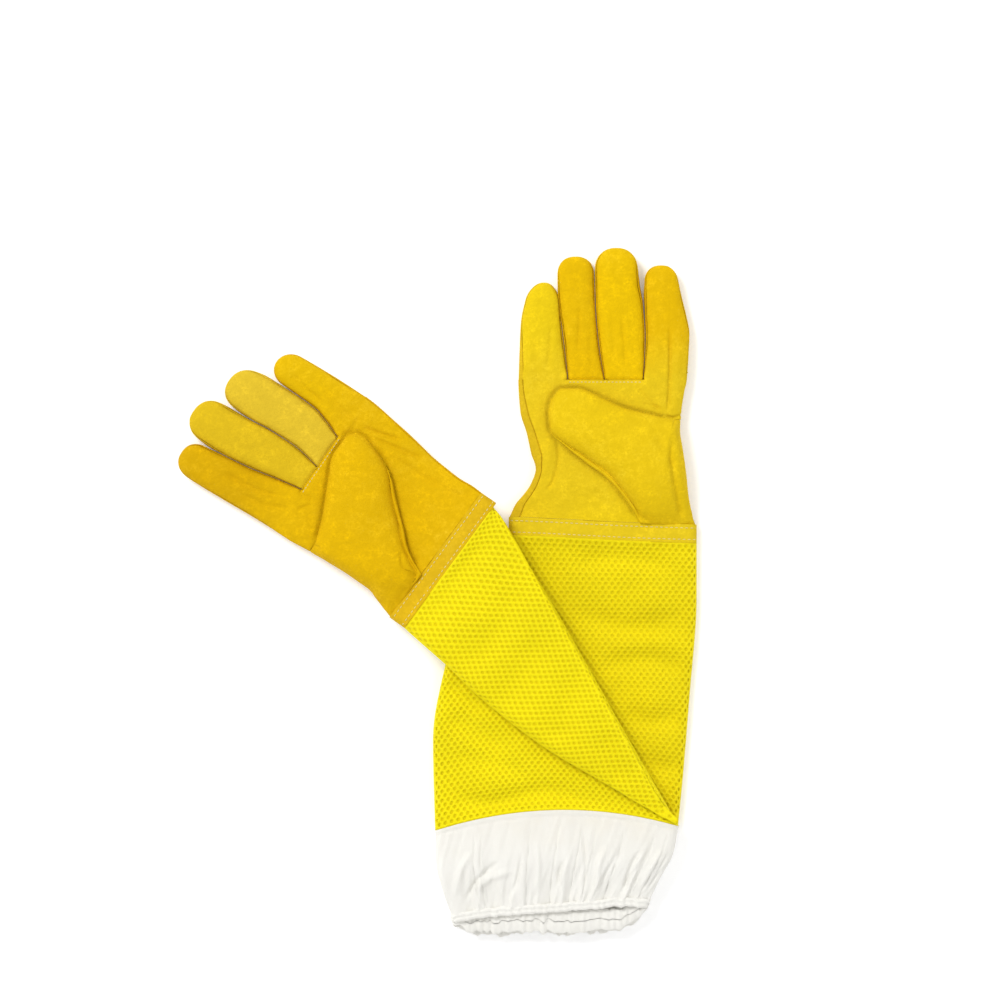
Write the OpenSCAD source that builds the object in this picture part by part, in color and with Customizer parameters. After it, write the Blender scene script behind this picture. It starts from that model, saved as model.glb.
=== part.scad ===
// Pair of ventilated beekeeping gloves, one lying folded over the other.
// Millimetres. +Z is up and z = 0 is the surface the gloves rest on.
// The origin is under the middle of the right glove's wrist seam.
// +Y points to the right glove's fingertips and +X to its thumb side.
// Every panel is a thin closed shell cut from one of a few tube surfaces.

/* [Sheet materials] */
// Thickness of the leather panels
leather_t = 1.3; // [0.8:0.1:2]
// Thickness of the spacer mesh
mesh_t = 2.5; // [1.5:0.1:3]
// Thickness of one layer of cuff canvas
canvas_t = 0.7; // [0.4:0.1:1.2]

/* [Sleeve and cuff] */
// Height of a sleeve lying flat
sleeve_h = 11; // [9:0.5:16]
// Clear height between stacked sleeves
stack_gap = 0.6; // [0.4:0.1:2]
// Rise of the line where mesh meets canvas, at its middle
cuff_arch = 13; // [0:1:20]
// Width of the elastic hem casing
hem_w = 7; // [5:0.5:12]
// Thickness of the elastic tape
elastic_t = 1; // [0.6:0.1:1.5]
// Half of the distance between the upper and lower lips of the cuff mouth
lip = 9.5; // [0:0.5:14]

/* [Hand] */
// Width of the leather wrist band
band_w = 9.4; // [7:0.2:12]
// Thickness of the doubled wrist band
band_t = 1.8; // [1.2:0.1:2.5]
// Height of the hand over the knuckles
hand_h = 16.4; // [14:0.2:22]
// Height of the folded thumb above the palm
thumb_h = 12.5; // [10:0.5:16]
// Clear gap at every joint between two pieces
joint_gap = 0.6; // [0.5:0.1:1.5]
// Clear gap between two neighbouring fingers
finger_gap = 1.2; // [1:0.1:2]
// Width and height of a line of thread
thread_w = 0.8; // [0.5:0.1:1.2]

/* [Hidden] */

gold = [0.86, 0.65, 0.2];
amber = [0.84, 0.58, 0.16];
straw = [0.86, 0.74, 0.36];
mesh_yellow = [0.93, 0.84, 0.08];
canvas_white = [0.93, 0.92, 0.88];
thread_white = [0.95, 0.93, 0.86];

level = sleeve_h + stack_gap;
RIGHT = 0;
LEFT = 1;

// ---- where the left glove's hand lies: its wrist, its axes and its drape
left_origin = [-106.4, -19.6];
left_angle = 145.5;
left_y = [cos(left_angle), sin(left_angle)];
left_x = [sin(left_angle) * -1, cos(left_angle)];

function ease(a, b, v) = let (k = min(1, max(0, (v - a) / (b - a)))) k * k * (3 - 2 * k);
function mix(a, b, k) = a + (b - a) * k;
function drape_pinky(y) = 2 * level * (1 - ease(4, 62, y));
function drape_thumb(y) = 2 * level * (1 - ease(-28, 38, y));
function drape(x, y) = mix(drape_pinky(y), drape_thumb(y), (x + 53) / 108);
function place(g, p) =
    g == RIGHT ? p : let (q = left_origin + p.x * left_x + p.y * left_y)
    [q.x, q.y, p.z + drape(p.x, p.y)];

// ---- closed shells between a surface and its offset
function unit(v) = v / max(norm(v), 0.000001);
function inward(f, u, a, eu, ea) =
    unit(cross(f(u, a + ea) - f(u, a - ea), f(u + eu, a) - f(u - eu, a)));
function quad(a, b, c, d, flip) = flip ? [[a, b, c], [a, c, d]] : [[a, c, b], [a, d, c]];

// Surface f(u, a) over lists of u and a, thickened inward from depth d0 to d1.
module shell(f, us, as, d0, d1, side, eu = 0.002, ea = 0.4) {
    nu = len(us);
    na = len(as);
    base = [for (u = us) [for (a = as) f(u, a)]];
    dirs = [for (u = us) [for (a = as) inward(f, u, a, eu, ea) * side]];
    pts = concat(
        [for (i = [0:nu - 1]) for (j = [0:na - 1]) base[i][j] + dirs[i][j] * d0],
        [for (i = [0:nu - 1]) for (j = [0:na - 1]) base[i][j] + dirs[i][j] * d1]
    );
    k = nu * na;
    flip = side < 0;
    skin = [for (i = [0:nu - 2]) for (j = [0:na - 2]) let (p = i * na + j)
        each concat(
            quad(p, p + 1, p + na + 1, p + na, !flip),
            quad(k + p, k + p + 1, k + p + na + 1, k + p + na, flip)
        )];
    ends = [for (j = [0:na - 2]) let (q = (nu - 1) * na)
        each concat(
            quad(j, j + 1, k + j + 1, k + j, flip),
            quad(q + j, q + j + 1, k + q + j + 1, k + q + j, !flip)
        )];
    rims = [for (i = [0:nu - 2]) let (p = i * na, q = i * na + na - 1)
        each concat(
            quad(p, p + na, k + p + na, k + p, !flip),
            quad(q, q + na, k + q + na, k + q, flip)
        )];
    polyhedron(points = pts, faces = concat(skin, ends, rims), convexity = 10);
}

// Closed ring: profile(a, k) gives point k of the section at angle a.
module ring(section, count, steps, side) {
    pts = [for (i = [0:steps - 1]) for (k = [0:count - 1]) section(360 * i / steps, k)];
    faces = [for (i = [0:steps - 1]) for (k = [0:count - 1])
        let (i2 = (i + 1) % steps, k2 = (k + 1) % count)
        each quad(i * count + k, i * count + k2, i2 * count + k2, i2 * count + k, side < 0)];
    polyhedron(points = pts, faces = faces, convexity = 10);
}

// ---- flattened tube sections: angle 0 is the +X edge, 90 the top, 180 the -X edge
function sgn_pow(v, e) = sign(v) * pow(abs(v), e);
function oval(hw, hh, e, a) = [hw * sgn_pow(cos(a), e), hh * sgn_pow(sin(a), e)];
function stadium(hw, hh, a) =
    let (b = (a % 360 + 360) % 360, top = b <= 180, c = top ? b : 360 - b, rx = min(hh, hw * 0.8))
    let (p = c < 60 ? [hw - rx + rx * cos(1.5 * c), hh * sin(1.5 * c)]
        : c > 120 ? [rx - hw - rx * cos(1.5 * (180 - c)), hh * sin(1.5 * (180 - c))]
        : [(hw - rx) * (90 - c) / 30, hh])
    [p.x, top ? p.y : -p.y];

// Point of a flattened tube between two edge points, at mid height zm
function between(l, r, s, zm) =
    let (c = (l + r) / 2, d = unit(r - l))
    [c.x + d.x * s.x, c.y + d.y * s.x, zm + s.y];
function across(l, r, s) = s.x / (norm(r - l) / 2);

// ---- sleeve and cuff edges, as points from the cuff line to the wrist
function edge(table, v) = [lookup(v, [for (r = table) [r[0], r[1]]]), lookup(v, [for (r = table) [r[0], r[2]]])];

right_sleeve_l = [[-0.1, -121, -225], [0, -117, -203], [0.5, -91, -100], [1, -66, -0.3], [1.1, -61, 20]];
right_sleeve_r = [[-0.1, 53, -220], [0, 53, -200], [0.15, 56, -170], [0.45, 61, -110], [0.8, 66, -40], [1, 66, -0.3], [1.1, 66, 20]];
lower_sleeve_l = [[-0.1, -117, -225], [0, -117, -203], [0.3, -118, -140], [0.55, -110, -90], [0.8, -95, -44], [1, -79, -5]];
lower_sleeve_r = [[-0.1, 65, -220], [0, 53, -200], [1, -68, 10]];
cuff_l = [[-0.1, -117, -198], [0, -117, -203], [0.35, -115, -224], [0.7, -108, -246], [1, -100, -263], [1.2, -94, -274]];
cuff_r = [[-0.1, 53, -196], [0, 53, -200], [0.35, 49, -219], [0.7, 40, -236], [1, 31, -250], [1.2, 25, -260]];

function arch(l, r, s, k) = let (m = across(l, r, s)) [0, cuff_arch * k * (1 - m * m), 0];

function right_sleeve(v, a) =
    let (l = edge(right_sleeve_l, v), r = edge(right_sleeve_r, v))
    let (s = stadium(norm(r - l) / 2, sleeve_h / 2, a))
    between(l, r, s, sleeve_h / 2) + arch(l, r, s, pow(max(0, 1 - v), 3));

function lower_sleeve(v, a) =
    let (l = edge(lower_sleeve_l, v), r = edge(lower_sleeve_r, v))
    let (s = stadium(norm(r - l) / 2, sleeve_h / 2, a))
    between(l, r, s, sleeve_h / 2 + level) + arch(l, r, s, pow(max(0, 1 - v), 3));

// Folded-over part of the left sleeve, in the left hand's own axes, wrist to fold corner
upper_sleeve_l = [[-0.05, -54, 5], [0, -52, -0.3], [0.05, -46, -14], [0.13, -38, -33], [1, 47.5, -212], [1.1, 57, -232]];
upper_sleeve_r = [[-0.05, 53, 5], [0, 53.5, -0.3], [0.13, 58, -33], [1, 58, -212], [1.1, 58, -232]];

function upper_sleeve(v, a) =
    let (l = edge(upper_sleeve_l, v), r = edge(upper_sleeve_r, v))
    let (s = stadium(norm(r - l) / 2, sleeve_h / 2, a))
    place(LEFT, between(l, r, s, sleeve_h / 2));

function cuff(z0, w, a) =
    let (l = edge(cuff_l, w), r = edge(cuff_r, w))
    let (s = stadium(norm(r - l) / 2, sleeve_h / 2, a), m = across(l, r, s))
    between(l, r, s, sleeve_h / 2 + z0)
    + arch(l, r, s, pow(max(0, 1 - w), 2))
    + [0, w * lip * s.y / (sleeve_h / 2) * (1 - pow(abs(m), 6)), 0];

// ---- hand outlines, as tables of distance from the wrist
hand_l = [
    [[8, -66], [10, -65], [20, -61], [30, -55], [40, -50], [50, -47], [60, -50], [75, -53], [90, -57], [112, -58.5], [120, -58.5]],
    [[8, -55], [17, -54.5], [29, -53], [46, -54], [65, -57], [89, -61], [117, -64], [125, -64]]
];
hand_r = [
    [[8, 66], [10, 65], [20, 62], [31, 60], [49, 58], [63, 56], [77, 54], [90, 55], [105, 57.5], [112, 59], [120, 59]],
    [[8, 53], [15, 51], [27, 48], [40, 45], [55, 45], [72, 45.5], [88, 46.5], [108, 48.5], [117, 48.5], [125, 48.5]]
];
// Angle on the section where the back panel's seam runs along the pinky side
seam_angle = [
    [[10, 140], [20, 141], [30, 143], [50, 146], [60, 136], [75, 139], [90, 143], [105, 151], [112, 153]],
    [[10, 165], [117, 165]]
];
hand_top = [[9, 11.3], [20, 12.6], [30, 14.2], [42, 15.6], [60, hand_h], [120, hand_h]];
knuckle_y = [112, 117];
hand_y0 = band_w + joint_gap;

function hand(g, y, a) =
    let (l = lookup(y, hand_l[g]), r = lookup(y, hand_r[g]), h = lookup(y, hand_top))
    let (s = oval((r - l) / 2, h / 2, 0.42, a))
    place(g, [(l + r) / 2 + s.x, y, h / 2 + s.y]);

function hand_seam(g, y) = lookup(y, seam_angle[g]);

// Angle on the section where the top reaches a given x
function angle_at(g, y, x) =
    let (l = lookup(y, hand_l[g]), r = lookup(y, hand_r[g]))
    acos(sgn_pow(min(1, max(-1, (x - (l + r) / 2) / ((r - l) / 2))), 1 / 0.42));

// ---- thumb: root line from the wrist to the upper seam, and the two side edges
root_a = [[26, 10.4], [15, 10.4]];
root_b = [[48.5, 84], [39.5, 88]];
thumb_lo = [
    [[0, 26, 10.4], [0.2, 15, 28], [0.35, 4, 42], [0.55, -12, 54], [0.8, -28, 67], [0.92, -37, 77], [1, -38.5, 90]],
    [[0, 15, 10.4], [0.2, 5, 32], [0.35, -5, 44], [0.55, -17, 58], [0.8, -31, 74], [0.92, -38, 90], [1, -41.5, 102]]
];
thumb_hi = [
    [[0, 48.5, 84], [0.2, 32, 88], [0.35, 16, 92], [0.55, 0, 99], [0.8, -18, 106], [0.92, -29, 106], [1, -36.5, 98]],
    [[0, 39.5, 88], [0.2, 25, 93], [0.35, 12, 99], [0.55, -3, 106], [0.8, -21, 113], [0.92, -34, 112.5], [1, -40.5, 108]]
];
root_axis = [unit(root_b[0] - root_a[0]), unit(root_b[1] - root_a[1])];

function palm_top(y) = lookup(y, hand_top);
function dome(s, e) = pow(max(0, 1 - pow(abs(s), e)), 1 / e);
function thumb_taper(u) = pow(max(0, 1 - pow(max(0, u), 5)), 0.5) * 0.88 + 0.12;
function root_point(g, s) = mix(root_a[g], root_b[g], (s + 1) / 2);
// Outer height of the thumb above the palm at the root, s from -1 to 1 across it
function root_rise(s) = leather_t + 1.6 + (thumb_h - leather_t - 1.6) * dome(s, 2.6);

function thumb_xy(g, u, s) =
    let (lo = edge(thumb_lo[g], u), hi = edge(thumb_hi[g], u), m = mix(lo, hi, (s + 1) / 2))
    m + (joint_gap + 0.5) * [-root_axis[g].y, root_axis[g].x] * (1 - u);
function thumb_under(g, u, s) =
    let (q = thumb_xy(g, u, s))
    place(g, [q.x, q.y, palm_top(q.y) + 0.8]);
function thumb_over(g, u, s) =
    let (q = thumb_xy(g, u, s))
    place(g, [q.x, q.y, palm_top(q.y) + 0.8 + leather_t + 1.4
        + (thumb_h - leather_t - 1.4) * dome(s, 2.6) * thumb_taper(u)]);

// Wing: from the thumb's root line round to the thumb-side edge of the hand
function wing(g, s, k) =
    let (p = root_point(g, s), x1 = lookup(p.y, hand_r[g]), h = palm_top(p.y))
    let (top = h + 0.8 + root_rise(s), c = sin(90 * k), d = cos(90 * k))
    place(g, [p.x + (x1 - p.x) * sgn_pow(c, 0.8), p.y, h / 2 + 0.5 + (top - h / 2 - 0.5) * sgn_pow(d, 0.7)]);

// ---- fingers: name, fingertip y, centre line and half width by y
fingers = [
    [
        ["index", 192.5, [[112, 43.5], [150, 44], [168, 41.5], [193, 38]], [[112, 15.5], [150, 15], [168, 13.5], [186, 11.5]]],
        ["middle", 204.5, [[112, 14.5], [130, 14], [150, 12.5], [168, 11], [205, 9]], [[112, 13.2], [130, 15.4], [150, 15.9], [168, 16.4], [190, 14.6]]],
        ["ring", 198.5, [[112, -11.8], [130, -14], [150, -16.5], [168, -18.5], [199, -19]], [[112, 12], [150, 12], [190, 12.4]]],
        ["pinky", 181.5, [[112, -41.5], [130, -41.5], [150, -42.5], [182, -41]], [[112, 16.3], [130, 15.3], [150, 13], [168, 10.8], [182, 10]]]
    ],
    [
        ["index", 199.5, [[117, 33], [145, 36.8], [164, 40], [181, 40.3], [200, 39.5]], [[117, 15], [145, 13], [164, 12.4], [190, 11.4]]],
        ["middle", 210.5, [[117, 6.6], [132, 6.8], [150, 8.6], [167, 10], [184, 11.5], [211, 11.8]], [[117, 10.2], [132, 12.3], [150, 14.6], [167, 15.8], [190, 14.8]]],
        ["ring", 200.5, [[117, -16.8], [136, -20.8], [150, -22.2], [167, -22.8], [184, -22], [201, -20.5]], [[117, 12], [136, 13], [150, 14.3], [167, 15], [184, 15]]],
        ["pinky", 182.5, [[117, -46.8], [136, -49.4], [154, -49.8], [183, -50]], [[117, 16.6], [136, 14], [154, 11.9], [170, 11], [183, 10]]]
    ]
];
finger_base = [0, 0.12, 0.3, 0.5, 0.68, 0.8, 0.88, 0.94, 0.975, 0.994];
finger_mid = 8.2;

function finger_y(g, k, u) = mix(knuckle_y[g] + joint_gap, fingers[g][k][1], u);
function finger(g, k, u, a) =
    let (f = fingers[g][k], y = finger_y(g, k, u), w = lookup(y, f[3]) - finger_gap / 2)
    let (d = min(1, max(0, (f[1] - y) / (w * 1.05))), round = sqrt(1 - (1 - d) * (1 - d)))
    let (s = oval(w * round, finger_mid * pow(round, 0.75), 0.8, a))
    place(g, [lookup(y, f[2]) + s.x, y, finger_mid + s.y]);

// ---- stations
function steps(a, b, n) = [for (i = [0:n]) a + (b - a) * i / n];
top_half = [0, 15, 32, 50, 60, 70, 80, 90, 100, 110, 120, 130, 148, 165, 180];
bottom_half = [for (a = top_half) a + 180];
sleeve_rows = [0, 0.08, 0.2, 0.35, 0.5, 0.65, 0.8, 0.92, 1];
finger_front = [38, 54, 72, 90, 108, 126, 142];
finger_back = [for (a = finger_front) a + 180];
side_of = [1, -1];

// ---- pieces shared by both gloves
module sleeve_sheet(f, rows, angles, side) {
    color(mesh_yellow) shell(f, rows, angles, 0, mesh_t, side);
}

module cuff_sheet(z0, angles) {
    rows = [0, 0.2, 0.4, 0.6, 0.78, 0.9];
    color(canvas_white) shell(function(w, a) cuff(z0, w, a), rows, angles, 0, canvas_t, -1);
}

// Point on the hem at angle a, set in by d and along the sleeve by y
function hem_point(z0, a, d, y) =
    let (f = function(w, b) cuff(z0, w, b))
    f(1, a) - inward(f, 1, a, 0.002, 0.4) * d + [0, y, 0];

hem_room = elastic_t + 0.2;
hem_t = hem_room + 2 * canvas_t;

module hem_casing(z0) {
    u_shape = [
        [0, hem_w - 0.2], [0, 0], [hem_t, 0], [hem_t, hem_w - 0.2],
        [hem_t - canvas_t, hem_w - 0.2], [hem_t - canvas_t, canvas_t],
        [canvas_t, canvas_t], [canvas_t, hem_w - 0.2]
    ];
    color(canvas_white)
        ring(function(a, k) hem_point(z0, a, u_shape[k][0], u_shape[k][1] - hem_w / 2), 8, 40, -1);
}

module cuff_elastic(z0) {
    d0 = canvas_t + 0.1;
    d1 = d0 + elastic_t;
    tape = [[d0, hem_w - 1], [d0, canvas_t + 0.3], [d1, canvas_t + 0.3], [d1, hem_w - 1]];
    color(thread_white)
        ring(function(a, k) hem_point(z0, a, tape[k][0], tape[k][1] - hem_w / 2), 4, 40, -1);
}

// Wrist band surface, from the sleeve's end to the hand
function band(g, y, a) =
    let (l = lookup(8, hand_l[g]), r = lookup(8, hand_r[g]))
    let (s = stadium((r - l) / 2, sleeve_h / 2 - 0.3, a))
    place(g, [(l + r) / 2 + s.x, y, sleeve_h / 2 + s.y]);

module band_ring(g, ys, d0, d1) {
    f = function(y, a) band(g, y, a);
    n = len(ys);
    sec = concat([for (y = ys) [y, d0]], [for (i = [1:n]) [ys[n - i], d1]]);
    ring(function(a, k) f(sec[k][0], a) + inward(f, sec[k][0], a, 0.2, 0.4) * side_of[g] * sec[k][1],
        2 * n, 48, side_of[g]);
}

module wrist_band(g) {
    color(gold) band_ring(g, [0, 2, 2 + thread_w, band_w - 2, band_w - 2 + thread_w, band_w], 0, band_t);
}

module band_stitches(g) {
    color(thread_white) {
        band_ring(g, [2, 2 + thread_w], -0.29, -0.04);
        band_ring(g, [band_w - 2, band_w - 2 + thread_w], -0.29, -0.04);
    }
}

// Start angle of the palm panel: the root line below the thumb, the hand's edge above it
function palm_start(g, y) =
    let (a = root_a[g], b = root_b[g], k = (y - a.y) / (b.y - a.y))
    k < 0 ? angle_at(g, y, a.x) : k <= 1 ? angle_at(g, y, mix(a.x, b.x, k) - 1.5) : 0;

module palm_panel(g) {
    b = root_b[g].y;
    rows = [hand_y0, 22, 36, 50, 64, 76, b, b + 1.2, 98, knuckle_y[g]];
    f = function(y, k) hand(g, y, mix(palm_start(g, min(y, y > b + 1 ? 200 : b)), hand_seam(g, y), k));
    color(gold) shell(f, rows, steps(0, 1, 14), 0, leather_t, side_of[g], 0.2, 0.01);
}

module back_panel(g) {
    rows = [hand_y0, 22, 36, 50, 64, 76, 88, 100, knuckle_y[g]];
    f = function(y, k) hand(g, y, mix(hand_seam(g, y), 360, k));
    color(straw) shell(f, rows, steps(0, 1, 20), 0, leather_t, side_of[g], 0.2, 0.01);
}

module thumb_wing(g) {
    f = function(s, k) wing(g, s, k);
    rows = [-0.995, -0.93, -0.8, -0.6, -0.3, 0, 0.3, 0.6, 0.8, 0.93, 0.995];
    color(gold) shell(f, rows, steps(0, 1, 8), 0, leather_t, -side_of[g], 0.01, 0.02);
}

module thumb_front(g) {
    f = function(u, s) thumb_over(g, u, s);
    cols = [-1, -0.95, -0.82, -0.6, -0.3, 0, 0.3, 0.6, 0.82, 0.95, 1];
    color(gold) shell(f, steps(0, 1, 12), cols, 0, leather_t, -side_of[g], 0.01, 0.01);
}

module thumb_back(g) {
    f = function(u, s) thumb_under(g, u, s);
    color(amber) shell(f, steps(0, 1, 12), steps(-1, 1, 8), 0, leather_t, side_of[g], 0.01, 0.01);
}

module finger_part(g, k, angles) {
    f = function(u, a) finger(g, k, u, a);
    shell(f, finger_base, angles, 0, leather_t, side_of[g]);
}

// Side strip: up one side of the finger, over the tip and down the other
module finger_side(g, k) {
    n = len(finger_base);
    ts = steps(-38, 38, 4);
    f = function(u, a) finger(g, k, u, a);
    side = side_of[g];
    m = len(ts);
    rows = [for (i = [0:2 * n - 1]) i < n ? [finger_base[i], 0] : [finger_base[2 * n - 1 - i], 1]];
    turn = function(q, t) q == 0 ? t : 180 - t;
    outer = [for (r = rows) for (t = ts) f(r[0], turn(r[1], t))];
    inner = [for (r = rows) for (t = ts) let (a = turn(r[1], t))
        f(r[0], a) + inward(f, r[0], a, 0.002, 0.4) * side * leather_t];
    c = len(outer);
    nr = len(rows);
    skin = [for (i = [0:nr - 2]) for (j = [0:m - 2]) let (p = i * m + j)
        each concat(quad(p, p + 1, p + m + 1, p + m, side > 0), quad(c + p, c + p + 1, c + p + m + 1, c + p + m, side < 0))];
    ends = [for (j = [0:m - 2]) let (q = (nr - 1) * m)
        each concat(quad(j, j + 1, c + j + 1, c + j, side < 0), quad(q + j, q + j + 1, c + q + j + 1, c + q + j, side > 0))];
    rims = [for (i = [0:nr - 2]) let (p = i * m, q = i * m + m - 1)
        each concat(quad(p, p + m, c + p + m, c + p, side > 0), quad(q, q + m, c + q + m, c + q, side < 0))];
    polyhedron(points = concat(outer, inner), faces = concat(skin, ends, rims), convexity = 10);
}

// Thread along the base of the ring and middle fronts
module front_seam_stitches(g) {
    x0 = g == RIGHT ? -22 : -28;
    x1 = g == RIGHT ? 28 : 16;
    y0 = knuckle_y[g] - 1.8;
    f = function(y, x) hand(g, y, angle_at(g, y, x));
    color(thread_white) shell(f, [y0, y0 + thread_w], steps(x0, x1, 8), 0.05, 0.35, side_of[g], 0.2, 0.2);
}

// ---- nodes
module right_sleeve_front() sleeve_sheet(function(v, a) right_sleeve(v, a), sleeve_rows, top_half, 1);
module right_sleeve_back() sleeve_sheet(function(v, a) right_sleeve(v, a), sleeve_rows, bottom_half, 1);
module right_cuff_front() cuff_sheet(0, top_half);
module right_cuff_back() cuff_sheet(0, bottom_half);
module right_hem_casing() hem_casing(0);
module right_cuff_elastic() cuff_elastic(0);
module right_wrist_band() wrist_band(RIGHT);
module right_band_stitches() band_stitches(RIGHT);
module right_palm_panel() palm_panel(RIGHT);
module right_back_panel() back_panel(RIGHT);
module right_thumb_wing() thumb_wing(RIGHT);
module right_front_seam_stitches() front_seam_stitches(RIGHT);
module right_thumb_front() thumb_front(RIGHT);
module right_thumb_back() thumb_back(RIGHT);
module right_index_front() color(gold) finger_part(RIGHT, 0, finger_front);
module right_index_back() color(straw) finger_part(RIGHT, 0, finger_back);
module right_index_side_strip() color(amber) finger_side(RIGHT, 0);
module right_middle_front() color(gold) finger_part(RIGHT, 1, finger_front);
module right_middle_back() color(straw) finger_part(RIGHT, 1, finger_back);
module right_middle_side_strip() color(amber) finger_side(RIGHT, 1);
module right_ring_front() color(gold) finger_part(RIGHT, 2, finger_front);
module right_ring_back() color(straw) finger_part(RIGHT, 2, finger_back);
module right_ring_side_strip() color(amber) finger_side(RIGHT, 2);
module right_pinky_front() color(gold) finger_part(RIGHT, 3, finger_front);
module right_pinky_back() color(straw) finger_part(RIGHT, 3, finger_back);
module right_pinky_side_strip() color(amber) finger_side(RIGHT, 3);
module left_lower_sleeve_front() sleeve_sheet(function(v, a) lower_sleeve(v, a), sleeve_rows, top_half, 1);
module left_lower_sleeve_back() sleeve_sheet(function(v, a) lower_sleeve(v, a), sleeve_rows, bottom_half, 1);
module left_cuff_front() cuff_sheet(level, top_half);
module left_cuff_back() cuff_sheet(level, bottom_half);
module left_hem_casing() hem_casing(level);
module left_cuff_elastic() cuff_elastic(level);
module left_upper_sleeve_front() sleeve_sheet(function(v, a) upper_sleeve(v, a), sleeve_rows, top_half, 1);
module left_upper_sleeve_back() sleeve_sheet(function(v, a) upper_sleeve(v, a), sleeve_rows, bottom_half, 1);
module left_wrist_band() wrist_band(LEFT);
module left_band_stitches() band_stitches(LEFT);
module left_palm_panel() palm_panel(LEFT);
module left_back_panel() back_panel(LEFT);
module left_thumb_wing() thumb_wing(LEFT);
module left_front_seam_stitches() front_seam_stitches(LEFT);
module left_thumb_front() thumb_front(LEFT);
module left_thumb_back() thumb_back(LEFT);
module left_index_front() color(gold) finger_part(LEFT, 0, finger_front);
module left_index_back() color(straw) finger_part(LEFT, 0, finger_back);
module left_index_side_strip() color(amber) finger_side(LEFT, 0);
module left_middle_front() color(straw) finger_part(LEFT, 1, finger_front);
module left_middle_back() color(straw) finger_part(LEFT, 1, finger_back);
module left_middle_side_strip() color(amber) finger_side(LEFT, 1);
module left_ring_front() color(straw) finger_part(LEFT, 2, finger_front);
module left_ring_back() color(straw) finger_part(LEFT, 2, finger_back);
module left_ring_side_strip() color(amber) finger_side(LEFT, 2);
module left_pinky_front() color(gold) finger_part(LEFT, 3, finger_front);
module left_pinky_back() color(straw) finger_part(LEFT, 3, finger_back);
module left_pinky_side_strip() color(amber) finger_side(LEFT, 3);

right_sleeve_front();
right_sleeve_back();
right_cuff_front();
right_cuff_back();
right_hem_casing();
right_cuff_elastic();
right_wrist_band();
right_band_stitches();
right_palm_panel();
right_back_panel();
right_thumb_wing();
right_front_seam_stitches();
right_thumb_front();
right_thumb_back();
right_index_front();
right_index_back();
right_index_side_strip();
right_middle_front();
right_middle_back();
right_middle_side_strip();
right_ring_front();
right_ring_back();
right_ring_side_strip();
right_pinky_front();
right_pinky_back();
right_pinky_side_strip();
left_lower_sleeve_front();
left_lower_sleeve_back();
left_cuff_front();
left_cuff_back();
left_hem_casing();
left_cuff_elastic();
left_upper_sleeve_front();
left_upper_sleeve_back();
left_wrist_band();
left_band_stitches();
left_palm_panel();
left_back_panel();
left_thumb_wing();
left_front_seam_stitches();
left_thumb_front();
left_thumb_back();
left_index_front();
left_index_back();
left_index_side_strip();
left_middle_front();
left_middle_back();
left_middle_side_strip();
left_ring_front();
left_ring_back();
left_ring_side_strip();
left_pinky_front();
left_pinky_back();
left_pinky_side_strip();
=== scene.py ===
import math

import bpy
import numpy as np
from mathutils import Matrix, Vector


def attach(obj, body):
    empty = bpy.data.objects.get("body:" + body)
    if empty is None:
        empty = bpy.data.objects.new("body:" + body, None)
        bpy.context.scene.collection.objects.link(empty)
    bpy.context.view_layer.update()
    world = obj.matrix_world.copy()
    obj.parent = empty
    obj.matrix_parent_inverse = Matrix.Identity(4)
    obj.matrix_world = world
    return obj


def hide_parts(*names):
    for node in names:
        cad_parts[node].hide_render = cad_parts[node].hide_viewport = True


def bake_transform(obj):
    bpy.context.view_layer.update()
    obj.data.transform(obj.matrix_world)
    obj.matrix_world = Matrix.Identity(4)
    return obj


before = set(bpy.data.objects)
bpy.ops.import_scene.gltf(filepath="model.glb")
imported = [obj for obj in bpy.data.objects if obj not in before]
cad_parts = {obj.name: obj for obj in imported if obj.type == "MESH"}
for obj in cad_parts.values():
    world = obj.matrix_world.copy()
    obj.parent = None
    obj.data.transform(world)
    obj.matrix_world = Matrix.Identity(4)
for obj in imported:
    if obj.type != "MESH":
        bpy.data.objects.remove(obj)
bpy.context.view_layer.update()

# A pair of beekeeping gloves, the left one lying folded over the right one.
# Shapes are worked out in millimetres and become metres in make_mesh().
# A hand is drawn in its own axes, x to the thumb side, y to the fingertips and
# z up, with y = 0 at the wrist seam, and place() lays it where the CAD has it.

MM = 0.001
RIGHT, LEFT = 0, 1
SIDES = ((1, "front"), (-1, "back"))  # the front of a glove is its palm side, which lies on top
HANDS = ("right", "left")
SLEEVE_BODY = ("right_gauntlet", "left_upper_sleeve")  # what each hand is sewn to
FRONT_SLOT = ("leather_gold", "leather_amber")
BACK_SLOT = ("leather_straw", "leather_amber")


# ---------------------------------------------------------------- numbers
def mix(a, b, k):
    return a + (b - a) * k


def smooth(a, b, v):
    """0 at a, 1 at b (which may be the lower one), with a soft start and end."""
    k = np.clip((v - a) / (b - a), 0, 1)
    return k * k * (3 - 2 * k)


def unit(v):
    return v / np.maximum(np.linalg.norm(v, axis=-1, keepdims=True), 1e-9)


def power(v, e):
    return np.sign(v) * np.abs(v) ** e


def spread(start, end, k, bend):
    """Angles from start to end in degrees: evenly spaced across the flat top of a section
    whose sines and cosines are bent by that power, and evenly turning at its two ends."""
    first, last, turning = (power(np.cos(np.radians(a)), bend) for a in (start, end, mix(start, end, k)))
    across = mix(mix(first, last, k), turning, np.abs(2 * k - 1) ** 6)
    return np.degrees(np.arccos(np.clip(power(across, 1 / bend), -1, 1)))


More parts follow.
